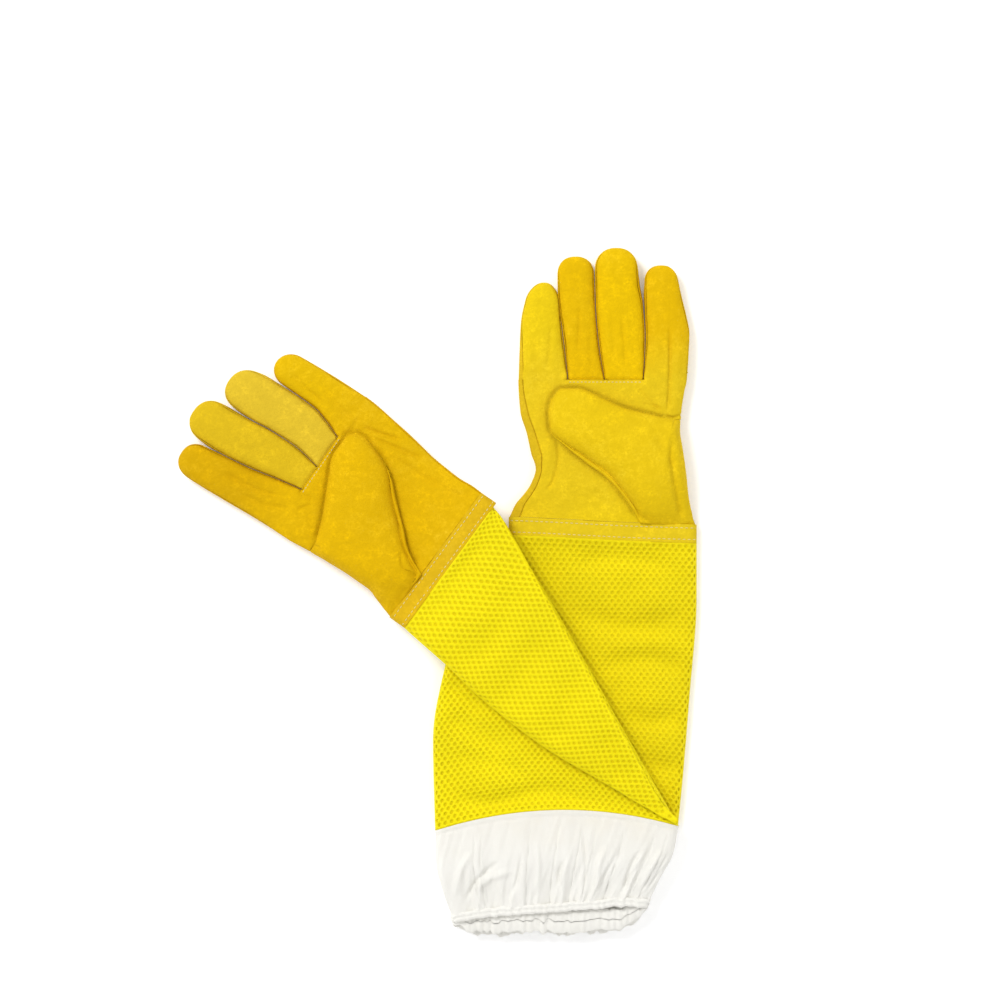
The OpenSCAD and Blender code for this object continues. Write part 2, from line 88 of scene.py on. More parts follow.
def curve(points):
    """Smooth function through (station, value) points that doesn't overshoot them."""
    x, y = np.array(points, float).T
    h = np.diff(x)
    slope = np.diff(y) / h
    tangent = np.zeros(len(x))
    for i in range(1, len(x) - 1):
        if slope[i - 1] * slope[i] > 0:
            wa, wb = 2 * h[i] + h[i - 1], h[i] + 2 * h[i - 1]
            tangent[i] = (wa + wb) / (wa / slope[i - 1] + wb / slope[i])
    tangent[0], tangent[-1] = slope[0], slope[-1]

    def at(v):
        v = np.clip(np.asarray(v, float), x[0], x[-1])
        i = np.clip(np.searchsorted(x, v, side="right") - 1, 0, len(x) - 2)
        t = (v - x[i]) / h[i]
        return ((1 + 2 * t) * (1 - t) ** 2 * y[i] + t * (1 - t) ** 2 * h[i] * tangent[i]
                + t * t * (3 - 2 * t) * y[i + 1] + t * t * (t - 1) * h[i] * tangent[i + 1])

    return at


def edge(table):
    """Smooth line through (station, x, y) points, as a function of the station."""
    x = curve([(r[0], r[1]) for r in table])
    y = curve([(r[0], r[2]) for r in table])
    return lambda v: (x(v), y(v))


def noise(x, y, scale, seed):
    """Smooth bumps about `scale` apart, from -1 to 1."""
    size = 128
    table = np.random.RandomState(seed).uniform(-1, 1, (size, size))
    u, v = np.asarray(x) / scale + 50.3, np.asarray(y) / scale + 50.7
    i, j = np.floor(u).astype(int), np.floor(v).astype(int)
    a, b = u - i, v - j
    a, b = a * a * (3 - 2 * a), b * b * (3 - 2 * b)
    i0, i1, j0, j1 = i % size, (i + 1) % size, j % size, (j + 1) % size
    return mix(mix(table[i0, j0], table[i1, j0], a), mix(table[i0, j1], table[i1, j1], a), b)


def fold_line(x, y, points, height, width, fade=0.22):
    """Height of a soft ridge, or of a groove where it is negative, along a smooth line."""
    n = 9 * (len(points) - 1) + 1
    along = edge([(i / (len(points) - 1), p[0], p[1]) for i, p in enumerate(points)])
    lx, ly = along(np.linspace(0, 1, n))
    best = np.full(np.shape(x), 1e9)
    where = np.zeros(np.shape(x))
    for i in range(n - 1):
        dx, dy = lx[i + 1] - lx[i], ly[i + 1] - ly[i]
        t = np.clip(((x - lx[i]) * dx + (y - ly[i]) * dy) / max(dx * dx + dy * dy, 1e-9), 0, 1)
        d = np.hypot(x - lx[i] - t * dx, y - ly[i] - t * dy)
        where = np.where(d < best, (i + t) / (n - 1), where)
        best = np.minimum(best, d)
    ends = smooth(0, fade, where) * smooth(0, fade, 1 - where) if fade else 1.0
    return height * np.exp(-((best / width) ** 2)) * ends


# ---------------------------------------------------------------- meshes
def make_mesh(name, points, faces, material, sharp=None):
    """Mesh object from points in mm and index arrays; sharp marks the points of hard edges."""
    points = np.stack([points[:, 0], points[:, 1], np.maximum(points[:, 2], 0)], 1)
    mesh = bpy.data.meshes.new(name)
    mesh.from_pydata((points * MM).tolist(), [], [f for group in faces for f in group.tolist()])
    mesh.polygons.foreach_set("use_smooth", np.ones(len(mesh.polygons), bool))
    if sharp is not None:
        ends = np.zeros(len(mesh.edges) * 2, int)
        mesh.edges.foreach_get("vertices", ends)
        ends = ends.reshape(-1, 2)
        n = len(sharp)
        hard = sharp[ends[:, 0] % n] & sharp[ends[:, 1] % n] & ((ends[:, 0] < n) == (ends[:, 1] < n))
        mark = mesh.attributes.new("sharp_edge", "BOOLEAN", "EDGE")
        mark.data.foreach_set("value", hard)
    mesh.materials.append(material)
    mesh.update()
    obj = bpy.data.objects.new(name, mesh)
    bpy.context.scene.collection.objects.link(obj)
    return obj


def thicken(points, normals, faces, depth):
    """Closes a surface into a solid of that depth below it. Returns points, faces and rim marks."""
    n = len(points)
    sides = [np.stack([f[:, i], f[:, (i + 1) % f.shape[1]]], 1) for f in faces for i in range(f.shape[1])]
    sides = np.concatenate(sides)
    key = np.sort(sides, 1)
    key = key[:, 0].astype(np.int64) * n + key[:, 1]
    _, first, count = np.unique(key, return_index=True, return_counts=True)
    rim = sides[first[count == 1]]
    walls = np.stack([rim[:, 1], rim[:, 0], rim[:, 0] + n, rim[:, 1] + n], 1)
    below = [f[:, ::-1] + n for f in faces]
    on_rim = np.zeros(n, bool)
    on_rim[rim.ravel()] = True
    return np.concatenate([points, points - normals * depth]), [*faces, *below, walls], on_rim


def grid_normals(p, outward, wrap=False):
    """Unit normals of a grid of points, turned to point the way `outward` does on the whole."""
    if wrap:
        du = np.roll(p, -1, 0) - np.roll(p, 1, 0)
    else:
        du = np.gradient(p, axis=0)
    n = unit(np.cross(du, np.gradient(p, axis=1)))
    sign = np.sign(np.nansum(n * outward)) or 1.0
    return n * sign, sign


def panel(name, p, thickness, material, outward, relief=None, wrap=False):
    """A sheet over a grid of points, with height added along its normals, made solid."""
    n, sign = grid_normals(p, outward, wrap)
    if relief is not None:
        p = p + n * relief[..., None]
        n, sign = grid_normals(p, outward, wrap)
    nu, nv = p.shape[:2]
    i = np.arange(nu if wrap else nu - 1)[:, None]
    j = np.arange(nv - 1)[None, :]
    a = (i * nv + j).ravel()
    b = (((i + 1) % nu) * nv + j).ravel()
    quads = np.stack([a, b, b + 1, a + 1], 1)
    if sign < 0:
        quads = quads[:, ::-1]
    points, faces, rim = thicken(p.reshape(-1, 3), n.reshape(-1, 3), [quads], thickness)
    return make_mesh(name, points, faces, material, rim)


def grid(rows, columns):
    return np.meshgrid(rows, columns, indexing="ij")


def stations(length, step, fine=(0.35, 0.8, 1.4, 2.3)):
    """Fractions from 0 to 1 along a length in mm, closer together near both ends."""
    middle = np.linspace(fine[-1], length - fine[-1], max(2, int(length / step)))
    v = [0, *fine[:-1], *middle, *[length - f for f in fine[:-1]][::-1], length]
    return np.array(v) / length


def edge_roll(u, length, depth=0.9, width=0.9, both=True):
    """Height lost where a panel turns down at its end, or at both of them."""
    at_end = np.exp(-(((1 - u) * length / width) ** 2))
    at_start = np.exp(-((u * length / width) ** 2)) if both else 0.0
    return -depth * at_start - depth * at_end


# ---------------------------------------------------------------- materials
class Shader:
    """A Principled material under construction, with object coordinates in metres."""

    def __init__(self, name, roughness, sheen=0.0, specular=0.35):
        self.mat = bpy.data.materials.new(name)
        self.mat.use_nodes = True
        self.tree = self.mat.node_tree
        self.bsdf = self.tree.nodes["Principled BSDF"]
        self.feed(self.bsdf, {"Roughness": roughness, "Specular IOR Level": specular,
                              "Sheen Weight": sheen, "Sheen Roughness": 0.5})
        self.where = self.node("TexCoord", {}).outputs["Object"]

    def feed(self, node, inputs):
        """Sets a node's inputs, each to a constant or linked from another node's output."""
        for key, value in inputs.items():
            if isinstance(value, bpy.types.NodeSocket):
                self.tree.links.new(value, node.inputs[key])
            else:
                node.inputs[key].default_value = value

    def node(self, kind, inputs, **settings):
        node = self.tree.nodes.new("ShaderNode" + kind)
        for key, value in settings.items():
            setattr(node, key, value)
        self.feed(node, inputs)
        return node

    def noise(self, scale, detail=2.0, stretch=(1, 1, 1)):
        where = self.node("Mapping", {"Vector": self.where, "Scale": stretch}).outputs["Vector"]
        return self.node("TexNoise", {"Vector": where, "Scale": scale, "Detail": detail}).outputs["Fac"]

    def wave(self, scale, direction, distortion=0.6):
        inputs = {"Vector": self.where, "Scale": scale, "Distortion": distortion, "Detail": 1.0}
        return self.node("TexWave", inputs, bands_direction=direction).outputs["Fac"]

    def ramp(self, value, low, high):
        return self.node("MapRange", {"Value": value, "From Min": low, "From Max": high}).outputs["Result"]

    def blend(self, factor, a, b):
        node = self.node("Mix", {"Factor": factor}, data_type="RGBA")
        places = [i for i, socket in enumerate(node.inputs) if socket.type == "RGBA"]
        values = [(*v, 1) if isinstance(v, tuple) else v for v in (a, b)]
        self.feed(node, dict(zip(places, values)))
        return next(socket for socket in node.outputs if socket.type == "RGBA")

    def add(self, a, b, weight):
        return self.node("Math", {0: b, 1: weight, 2: a}, operation="MULTIPLY_ADD").outputs[0]

    def multiply(self, a, b):
        return self.node("Math", {0: a, 1: b}, operation="MULTIPLY").outputs[0]

    def place_along(self, axis):
        return self.node("SeparateXYZ", {0: self.where}).outputs[axis]

    def between(self, start, end):
        """0 at one point in mm, 1 at the other, changing evenly along the line between them."""
        start, end = np.array(start) * MM, np.array(end) * MM
        line = (end - start) / ((end - start) ** 2).sum()
        away = self.node("VectorMath", {0: self.where, 1: tuple(start)}, operation="SUBTRACT")
        inputs = {0: away.outputs["Vector"], 1: tuple(line)}
        share = self.node("VectorMath", inputs, operation="DOT_PRODUCT")
        return self.ramp(share.outputs["Value"], 0.0, 1.0)

    def finish(self, colour, height, depth):
        bump = self.node("Bump", {"Height": height, "Distance": depth, "Strength": 0.8})
        self.feed(self.bsdf, {"Base Color": colour, "Normal": bump.outputs["Normal"]})
        return self.mat


def tone(colour, k):
    return tuple(min(1.0, c * k) for c in colour)


def leather(name, colour, near=None):
    """Suede side of a split hide: short nap, soft mottling and paler scuffs.

    near is (colour, start, end) for a hide that starts in another colour and changes to its own."""
    s = Shader(name, roughness=0.9, specular=0.08)
    mottle = s.ramp(s.noise(70, 5), 0.3, 0.7)
    patches = s.multiply(s.ramp(s.noise(24, 3), 0.45, 0.7), s.ramp(s.noise(160, 3), 0.2, 0.9))
    blotches = s.ramp(s.noise(190, 4), 0.33, 0.6)
    fibres = s.ramp(s.noise(520, 6), 0.32, 0.62)
    nap = s.noise(1300, 4)

    def hide(tint):
        pale = tuple(mix(c, p, 0.3) for c, p in zip(tint, (0.80, 0.66, 0.08)))
        body = s.blend(mottle, tone(tint, 0.78), tone(tint, 1.19))
        body = s.blend(patches, body, pale)
        body = s.blend(blotches, tone(tint, 0.77), body)
        body = s.blend(fibres, tone(tint, 0.77), body)
        return s.blend(s.ramp(nap, 0.25, 0.75), tone(tint, 0.80), body)

    body = hide(colour)
    if near:
        body = s.blend(s.between(near[1], near[2]), hide(near[0]), body)
    height = s.add(s.noise(420, 3), nap, 0.7)
    return s.finish(body, height, 0.00055)


def knit(name, colour, dark, band):
    """Yarn of the spacer mesh: fine plied texture and long soft bands of painted shade, darkened by the
    factor band.
    """
    s = Shader(name, roughness=0.6, specular=0.12)
    ply = s.wave(900, "DIAGONAL", 2.0)
    # painted shade: long noise bands where the yarn is darkened by band, standing in for the shading of the
    # sleeves' folds
    shade = s.ramp(s.noise(16, 2, (1, 2.2, 1)), 0.3, 0.72)
    body = s.blend(shade, tone(colour, band), colour)
    body = s.blend(s.ramp(ply, 0.0, 0.9), s.blend(shade, dark, tone(dark, 1.1)), body)
    return s.finish(body, s.add(ply, s.noise(2600, 2), 0.6), 0.00025)


def canvas(name):
    """Plain-woven cotton with faint beige patches near its seam to the mesh."""
    s = Shader(name, roughness=0.9, sheen=0.05, specular=0.15)
    warp, weft = s.wave(560, "X"), s.wave(560, "Y")
    weave = s.multiply(warp, weft)
    cloth = s.blend(s.ramp(s.noise(40, 3), 0.3, 0.75), (0.865, 0.85, 0.795), (0.93, 0.92, 0.875))
    near_seam = s.ramp(s.place_along("Y"), -0.228, -0.196)
    stain = s.multiply(near_seam, s.ramp(s.noise(34, 2), 0.5, 0.78))
    cloth = s.blend(stain, cloth, (0.88, 0.83, 0.70))
    gaps = s.blend(near_seam, (0.85, 0.835, 0.78), (0.84, 0.81, 0.73))
    cloth = s.blend(s.ramp(weave, 0.0, 0.5), gaps, cloth)
    return s.finish(cloth, weave, 0.0003)


def thread(name, colour):
    s = Shader(name, roughness=0.6, sheen=0.1)
    twist = s.wave(1400, "DIAGONAL", 1.0)
    return s.finish(s.blend(twist, tone(colour, 0.82), colour), twist, 0.0002)


def elastic(name):
    s = Shader(name, roughness=0.7)
    ribs = s.wave(420, "Y", 0.4)
    colour = s.blend(ribs, (0.60, 0.59, 0.55), (0.78, 0.77, 0.73))
    return s.finish(colour, s.add(ribs, s.noise(1800, 2), 0.4), 0.0004)


PALM_COLOUR = ((0.800, 0.562, 0.0110), (0.750, 0.455, 0.0010))
WRIST_COLOUR = (0.850, 0.610, 0.0070)
HIDE = {
    "palm": leather("suede_gold", PALM_COLOUR[RIGHT], (WRIST_COLOUR, (35, 12, 0), (-5, 70, 0))),
    "wing": leather("suede_bright", (0.815, 0.560, 0.0060)),
    "middle": leather("suede_warm", (0.815, 0.520, 0.0008)),
    "deep": leather("suede_deep", (0.775, 0.480, 0.0008)),
    "amber": leather("suede_amber", PALM_COLOUR[LEFT]),
    "amber_dark": leather("suede_dark_amber", (0.680, 0.395, 0.0008)),
    "straw": leather("suede_straw", (0.715, 0.480, 0.0115)),
    "pale_straw": leather("suede_pale_straw", (0.740, 0.510, 0.0270)),
    "band": leather("suede_band", (0.800, 0.580, 0.0130)),
    "band_amber": leather("suede_band_amber", (0.725, 0.455, 0.0085)),
}
YARN = knit("mesh_yarn", (0.985, 0.85, 0.005), (0.86, 0.72, 0.003), 0.95)
# the same yarn made darker: painted shade, for the right sleeve's top and for every sleeve's underside
YARN_PAINTED_SHADE = knit("mesh_yarn_shaded", (0.96, 0.80, 0.005), (0.82, 0.66, 0.003), 0.92)
LINER = knit("mesh_inner_layer", (0.90, 0.73, 0.003), (0.74, 0.58, 0.002), 0.93)
CANVAS = canvas("cuff_canvas")
BACK_HIDE = (HIDE["straw"], HIDE["amber_dark"])
THREAD = thread("thread_cream", (0.90, 0.76, 0.30))
ELASTIC = elastic("elastic_tape")


def keep(obj, body=None, replaces=()):
    """Finishes a piece: hides the CAD nodes it stands for and puts it on the body it rides on."""
    if replaces:
        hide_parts(*replaces)
    if body:
        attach(obj, body)
    return obj


# ---------------------------------------------------------------- where the left hand lies
LEFT_ORIGIN = (-106.4, -19.6)
LEFT_ANGLE = math.radians(145.5)
LEFT_Y = (math.cos(LEFT_ANGLE), math.sin(LEFT_ANGLE))
LEFT_X = (-math.sin(LEFT_ANGLE), math.cos(LEFT_ANGLE))
LEVEL = 11.6  # height of the left glove's sleeve, which lies on the right one


def drape(x, y):
    """Height of the left hand's underside, which comes down from the stack to the floor."""
    pinky = 2 * LEVEL * (1 - smooth(4, 62, y))
    thumb = 2 * LEVEL * (1 - smooth(-28, 38, y))
    return mix(pinky, thumb, (x + 53) / 108)


WRIST_SKEW = (
    curve([(-66, 4.4), (-56, 4.1), (26, 0.2), (66, -1.0)]),
    curve([(-53, 0.8), (55, 4.2)]),
)
BAND_STRETCH = 0.22


def wrist_warp(g, x, y):
    """The wrist seam lies a little askew and the band is widest there."""
    fade = np.where(y < 5, 1 - smooth(5, 45, 5 - y), 1 - smooth(5, 40, y - 5))
    return fade * (WRIST_SKEW[g](x) + BAND_STRETCH * np.clip(y, 0, 9.6))


def place(g, x, y, z):
    """Rows of x, y, z for points in the axes of hand g, or in the floor's own if it is None."""
    if g is not None:
        y = y + wrist_warp(g, x, y)
    if g == LEFT:
        x, y, z = (LEFT_ORIGIN[0] + x * LEFT_X[0] + y * LEFT_Y[0],
                   LEFT_ORIGIN[1] + x * LEFT_X[1] + y * LEFT_Y[1], z + drape(x, y))
    return np.stack(np.broadcast_arrays(x, y, z), -1).astype(float)


# ---------------------------------------------------------------- sleeves
SLEEVE_H = 11.0
CELL_W, CELL_ROW = 4.5, 3.1  # width of the mesh's cells and distance between their rows
HOLE_W, HOLE_H = 1.9, 2.45
NET_T = 0.7
LAYER_T = 0.9  # the mesh's inner layer
RIM_SINK = 0.28  # how far a hole's rim lies below the corners of its cell


class Tube:
    """A flattened tube between a left and a right edge; t runs along it from 0 to 1.

    half(t) is half of its height, shift(m, t, rise) moves its cloth along, and g is as in place()."""

    def __init__(self, g, left, right, length, half, floor, shift):
        self.g, self.left, self.right = g, edge(left), edge(right)
        self.length, self.half, self.floor, self.shift = length, half, floor, shift

    def radius(self, t):
        width = self.right(t)[0] - self.left(t)[0]
        return np.minimum(SLEEVE_H / 2, 0.4 * width)

    def limits(self, t):
        spare = self.radius(t) * (math.pi / 2 - 1)
        return self.left(t)[0] - spare, self.right(t)[0] + spare

    def points(self, c, t, side, wave=None):
        """Points at c across the cloth, measured on the flat, on the top (1) or the underside (-1)."""
        (lx, ly), (rx, ry) = self.left(t), self.right(t)
        r = self.radius(t)
        over_l = np.clip((lx + r - c) / r, 0, math.pi / 2)
        over_r = np.clip((c - rx + r) / r, 0, math.pi / 2)
        x = np.clip(c, lx + r, rx - r) - r * np.sin(over_l) + r * np.sin(over_r)
        rise = np.cos(np.maximum(over_l, over_r)) * side
        m = (x - lx) / np.maximum(rx - lx, 1e-6)
        y = mix(ly, ry, m) + self.shift(2 * m - 1, t, rise)
        half = self.half(t)
        z = self.floor + half + half * rise
        if wave is not None:
            ends = smooth(0, 10, t * self.length) * smooth(0, 8, (1 - t) * self.length)
            z = z + wave(x, y) * ends * np.clip((z - self.floor) / half - 1, 0, 1)
        return place(self.g, x, y, z)


def net_cells(limits, length):
    """A flat net of staggered six-sided cells, each with a round hole.

    Returns its points, its triangles and how many of the points are corners of cells; the rest
    are on the holes' rims."""
    count = int(round(length / CELL_ROW))
    row = length / count
    lo, hi = limits(np.linspace(0, 1, 60))
    columns = np.arange(int(np.min(lo) / CELL_W) - 2, int(np.max(hi) / CELL_W) + 3)
    jj, ii = grid(np.arange(0, count + 1), columns)
    cx = ((ii + 0.5 * (jj % 2)) * CELL_W).ravel()
    cy = (jj * row).ravel()
    lo, hi = limits(cy / length)
    near = (cx > lo - 0.5 * CELL_W) & (cx < hi + 0.5 * CELL_W)
    cx, cy, lo, hi = cx[near], cy[near], lo[near], hi[near]
    clear = np.minimum(cx - lo, hi - cx) > 0.62 * CELL_W
    holed = clear & (cy > 0.5 * row) & (cy < length - 0.5 * row)

    corner = np.array([(0, 2), (-1, 1), (-1, -1), (0, -2), (1, -1), (1, 1)]) * (CELL_W / 2, row / 3)
    px = cx[:, None] + corner[None, :, 0]
    py = np.clip(cy[:, None] + corner[None, :, 1], 0, length)
    px = np.clip(px, *limits(py / length))
    flat = np.round(np.stack([px.ravel(), py.ravel()], 1), 2)
    corners, index = np.unique(flat, axis=0, return_inverse=True)
    cell = index.reshape(-1, 6)

    angle = np.radians(90 + 30 * np.arange(12))
    ring = np.stack([cx[holed, None] + HOLE_W / 2 * np.cos(angle),
                     cy[holed, None] + HOLE_H / 2 * np.sin(angle)], -1)
    rim = (len(corners) + np.arange(ring.shape[0] * 12)).reshape(-1, 12)
    open_cell, shut = cell[holed], cell[~holed]
    triangles = []
    for k in range(6):
        a, b = open_cell[:, k], open_cell[:, (k + 1) % 6]
        r0, r1, r2 = rim[:, 2 * k], rim[:, 2 * k + 1], rim[:, (2 * k + 2) % 12]
        triangles += [np.stack(three, 1) for three in ((a, b, r1), (a, r1, r0), (b, r2, r1))]
    triangles += [np.stack([shut[:, 0], shut[:, k], shut[:, k + 1]], 1) for k in range(1, 5)]
    return np.concatenate([corners, ring.reshape(-1, 2)]), np.concatenate(triangles), len(corners)


def net(name, surface, limits, length, outward, material):
    """The net laid on a surface, as one closed solid whose threads are round at the holes.

    surface(c, t) gives points for c mm across and t from 0 to 1 along the length."""
    flat, triangles, corner_count = net_cells(limits, length)
    c, y = flat.T
    step = 0.25
    points = surface(c, y / length)
    across = surface(c + step, y / length) - surface(c - step, y / length)
    along = (surface(c, np.minimum(y + step, length) / length)
             - surface(c, np.maximum(y - step, 0) / length))
    normals = unit(np.cross(across, along))
    sign = np.sign((normals * outward).sum()) or 1.0
    normals = normals * sign
    points[corner_count:] -= normals[corner_count:] * RIM_SINK
    a, b, c = (points[triangles[:, k]] for k in range(3))
    triangles = triangles[np.linalg.norm(np.cross(b - a, c - a), axis=1) > 1e-3]
    if sign < 0:
        triangles = triangles[:, ::-1]
    points, faces, _ = thicken(points, normals, [triangles], NET_T)
    return make_mesh(name, points, faces, material)


def sleeve_pieces(name, tube, body, yarn, wave):
    """The net and the inner layer of a sleeve's front (top) and back, riding on one body."""
    for side, word in SIDES:
        used = wave if side > 0 else None
        up = np.array([0, 0, side])
        surface = lambda c, t: tube.points(c, t, side, used)
        top = net(f"{name}_net_{word}", surface, tube.limits, tube.length, up, yarn[side > 0])
        keep(top, body, [f"{name}_{word}"])

        k, t = grid(stations(150, 4), stations(tube.length, 4))
        lo, hi = tube.limits(t)
        p = surface(mix(lo, hi, k), t)
        n, _ = grid_normals(p, up)
        inner = panel(f"{name}_inner_layer_{word}", p - n * (NET_T + 0.05), LAYER_T, LINER, up)
        keep(inner, body)


def arch(m, t, fade):
    """The curve of the seam between mesh and canvas, dying away along the tube."""
    return 13.0 * (1 - m * m) * np.maximum(0, 1 - t) ** fade


def sleeve_half(t):
    return SLEEVE_H / 2 + 0 * t


def sleeve_shift(m, t, rise):
    return arch(m, t, 3)


right_tube = Tube(
    RIGHT,
    [[0, -117, -203], [0.5, -91, -100], [1, -66, -0.9]],
    [[0, 53, -200], [0.15, 56, -170], [0.45, 61, -110], [0.8, 66, -40], [1, 66, -0.9]],
    203, sleeve_half, 0, sleeve_shift)
lower_tube = Tube(
    None,
    [[0, -117.5, -203], [0.3, -119, -140], [0.55, -111, -90], [0.8, -95, -44], [0.97, -82, -11]],
    [[0, 53, -200], [0.5, -7.5, -95], [0.97, -66, 4]],
    200, sleeve_half, LEVEL, sleeve_shift)
upper_tube = Tube(
    LEFT,
    [[0, -52, -0.9], [0.05, -50, -8], [0.2, -29.5, -50], [0.52, 6, -122], [0.75, 31.5, -174],
     [0.94, 52, -217], [1, 54.5, -229]],
    [[0, 53, -0.9], [0.15, 57.5, -36], [0.3, 63, -69], [0.52, 66, -122], [0.75, 63, -172],
     [0.94, 60, -216], [1, 58.5, -231]],
    231, lambda t: mix(SLEEVE_H / 2, 1.6, smooth(0.55, 1, t)), 0, lambda m, t, rise: 0.0)

RIGHT_WAVES = (
    ([(-30, -20), (10, -14), (62, -22)], -1.2, 7),
    ([(-25, -48), (20, -62), (62, -55)], -2.0, 9),
    ([(-5, -88), (30, -84), (62, -92)], -1.8, 8),
    ([(10, -118), (35, -128), (60, -122)], -1.7, 8),
    ([(25, -150), (45, -160), (58, -158)], -1.0, 7),
)
LOWER_WAVES = (
    ([(-112, -176), (-80, -184), (-40, -176), (0, -186)], -1.6, 7),
    ([(-112, -120), (-90, -135), (-60, -150)], -1.3, 9),
    ([(-110, -95), (-98, -110), (-80, -122)], -1.2, 6),
    ([(-114, -150), (-80, -156), (-45, -166)], -1.0, 7),
)
UPPER_WAVES = (
    ([(-40, -14), (0, -10), (50, -16)], -0.7, 6),
    ([(-28, -42), (20, -52), (58, -46)], -1.0, 10),
    ([(0, -88), (30, -80), (62, -92)], -1.3, 12),
    ([(6, -112), (40, -124), (62, -130)], -1.0, 10),
    ([(30, -150), (46, -168), (58, -190)], -1.0, 8),
)


def waves(lines, seed):
    """Shallow hollows in a sleeve's top."""
    def at(x, y):
        h = 0.8 * (noise(x, y, 22, seed) - 1)
        for points, height, width in lines:
            h = h + fold_line(x, y, points, 2.2 * height, width, 0.3)
        return h
    return at


# each sleeve's yarns are (underside, top); the darker yarn with painted shade goes on every underside and
# on the right sleeve's top
sleeve_pieces("right_sleeve", right_tube, "right_gauntlet", (YARN_PAINTED_SHADE, YARN_PAINTED_SHADE),
              waves(RIGHT_WAVES, 3))
sleeve_pieces("left_lower_sleeve", lower_tube, "left_gauntlet", (YARN_PAINTED_SHADE, YARN),
              waves(LOWER_WAVES, 5))
sleeve_pieces("left_upper_sleeve", upper_tube, "left_upper_sleeve", (YARN_PAINTED_SHADE, YARN),
              waves(UPPER_WAVES, 7))


def crease_strip():
    """The cloth that turns round the fold line, from the lower sleeve up to the upper one."""
    line = edge([[0, 50, -197], [0.25, 20, -146], [0.5, -9, -95], [0.75, -38, -44], [1, -67, 3]])
    length, width = 232, 20.0

    def surface(c, t):
        x, y = line(t)
        turn = math.pi * np.clip(c / width, -0.5, 0.5)
        full = smooth(-0.05, 0.5, t)
        out = -2.2 + mix(2.6, 4.2, full) * np.cos(turn)
        z = mix(20.8, 22.9, full) + mix(3.6, 7.2, full) * np.sin(turn)
        return place(None, x + 0.866 * out, y + 0.5 * out, z)

    def limits(t):
        return -width / 2 + 0 * t, width / 2 + 0 * t

    strip = net("left_fold_strip", surface, limits, length, np.array([0.866, 0.5, 0]), YARN)
    keep(strip)
    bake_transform(strip)


crease_strip()

# ---------------------------------------------------------------- cuffs
CUFF_LEFT = [[0, -117.3, -203], [0.35, -117, -224], [0.7, -111.8, -246], [1, -104.3, -264.5],
             [1.1, -101.3, -271]]
CUFF_RIGHT = [[0, 53, -200], [0.35, 49, -219], [0.7, 40, -236], [1, 31, -253.5], [1.1, 28, -258]]
CUFF_DEEP = 62.0


def cuff_tube(floor, slip):
    """A cuff's tube: its under lip reaches out further than its top one, and slip draws both back."""
    def shift(m, t, rise):
        lip = t * np.where(rise > 0, 4.2, 9.0) * rise * (1 - np.abs(m) ** 6) - t * slip
        return arch(m, np.minimum(t, 1), 2) + lip - 1.5 * t * t * (1 - m * m)

    def half(t):
        return mix(SLEEVE_H / 2, 3.4, smooth(0.45, 1, t))

    return Tube(None, CUFF_LEFT, CUFF_RIGHT, CUFF_DEEP, half, floor, shift)


PLEATS = (
    ([(-104, -252), (-100, -232), (-90, -215)], 1.0, 3.0),
    ([(-98, -256), (-88, -238), (-70, -222)], -1.1, 2.2),
    ([(-92, -246), (-78, -236), (-60, -230)], 0.9, 3.0),
    ([(-66, -252), (-60, -236), (-56, -214)], -1.0, 2.0),
    ([(-48, -250), (-45, -232), (-47, -205)], 0.8, 2.6),
    ([(-30, -250), (-31, -236), (-26, -220)], -1.1, 2.0),
    ([(-14, -250), (-12, -226), (-15, -198)], -0.9, 1.8),
    ([(-3, -250), (-4, -232), (2, -212)], 0.9, 2.6),
    ([(14, -250), (18, -232), (27, -214)], -1.1, 2.2),
    ([(24, -248), (32, -232), (42, -214)], 0.9, 2.6),
    ([(30, -246), (40, -230), (48, -214)], -0.8, 2.0),
)


def gathers(m, t, x, y, seed, size):
    """Wrinkles that fan out from the gathered hem and die away towards the mesh."""
    fan = m * 85
    h = noise(fan, t * 60 / 26, 5.2, seed) + 0.7 * noise(fan + 0.3 * t * 60, t * 60 / 10, 2.9, seed + 1)
    h = h * mix(0.4, 1.9, smooth(0.1, 1.0, t))
    crease = 1 - np.abs(noise(fan * 1.15 + 4 * t, t * 60 / 22, 6.5, seed + 2)) * 7
    h = h - 1.3 * np.clip(crease, 0, 1) * smooth(0.02, 0.5, t)
    for points, height, width in PLEATS:
        h = h + fold_line(x, y, points, 2.1 * height, 0.75 * width, 0.35)
    return h * size


def cuff_pieces(name, body, floor, slip, seed, top_size):
    tube = cuff_tube(floor, slip)
    for side, word in SIDES:
        k, t = grid(stations(176, 0.75), stations(CUFF_DEEP * 0.965, 1.1) * 0.965)
        lo, hi = tube.limits(t)
        c = mix(lo, hi, k)
        p = tube.points(c, t, side)
        size = top_size if side > 0 else 0.2
        rise = gathers(2 * k - 1, t, p[..., 0], p[..., 1], seed + side, size)
        edge_fade = smooth(0, 0.04, k) * smooth(0, 0.04, 1 - k)
        rise = rise * edge_fade * smooth(0, 5, t * CUFF_DEEP) + 0.3 * (1 - smooth(2.2, 3.4, t * CUFF_DEEP))
        rise = rise - 0.5 * np.exp(-((t * CUFF_DEEP - 3.0) / 0.7) ** 2)
        up = np.array([0, 0, side])
        cloth = panel(f"{name}_cloth_{word}", p, 0.7, CANVAS, up, rise)
        keep(cloth, body, [f"{name}_{word}"])
    hem_pieces(name, tube, body, seed)


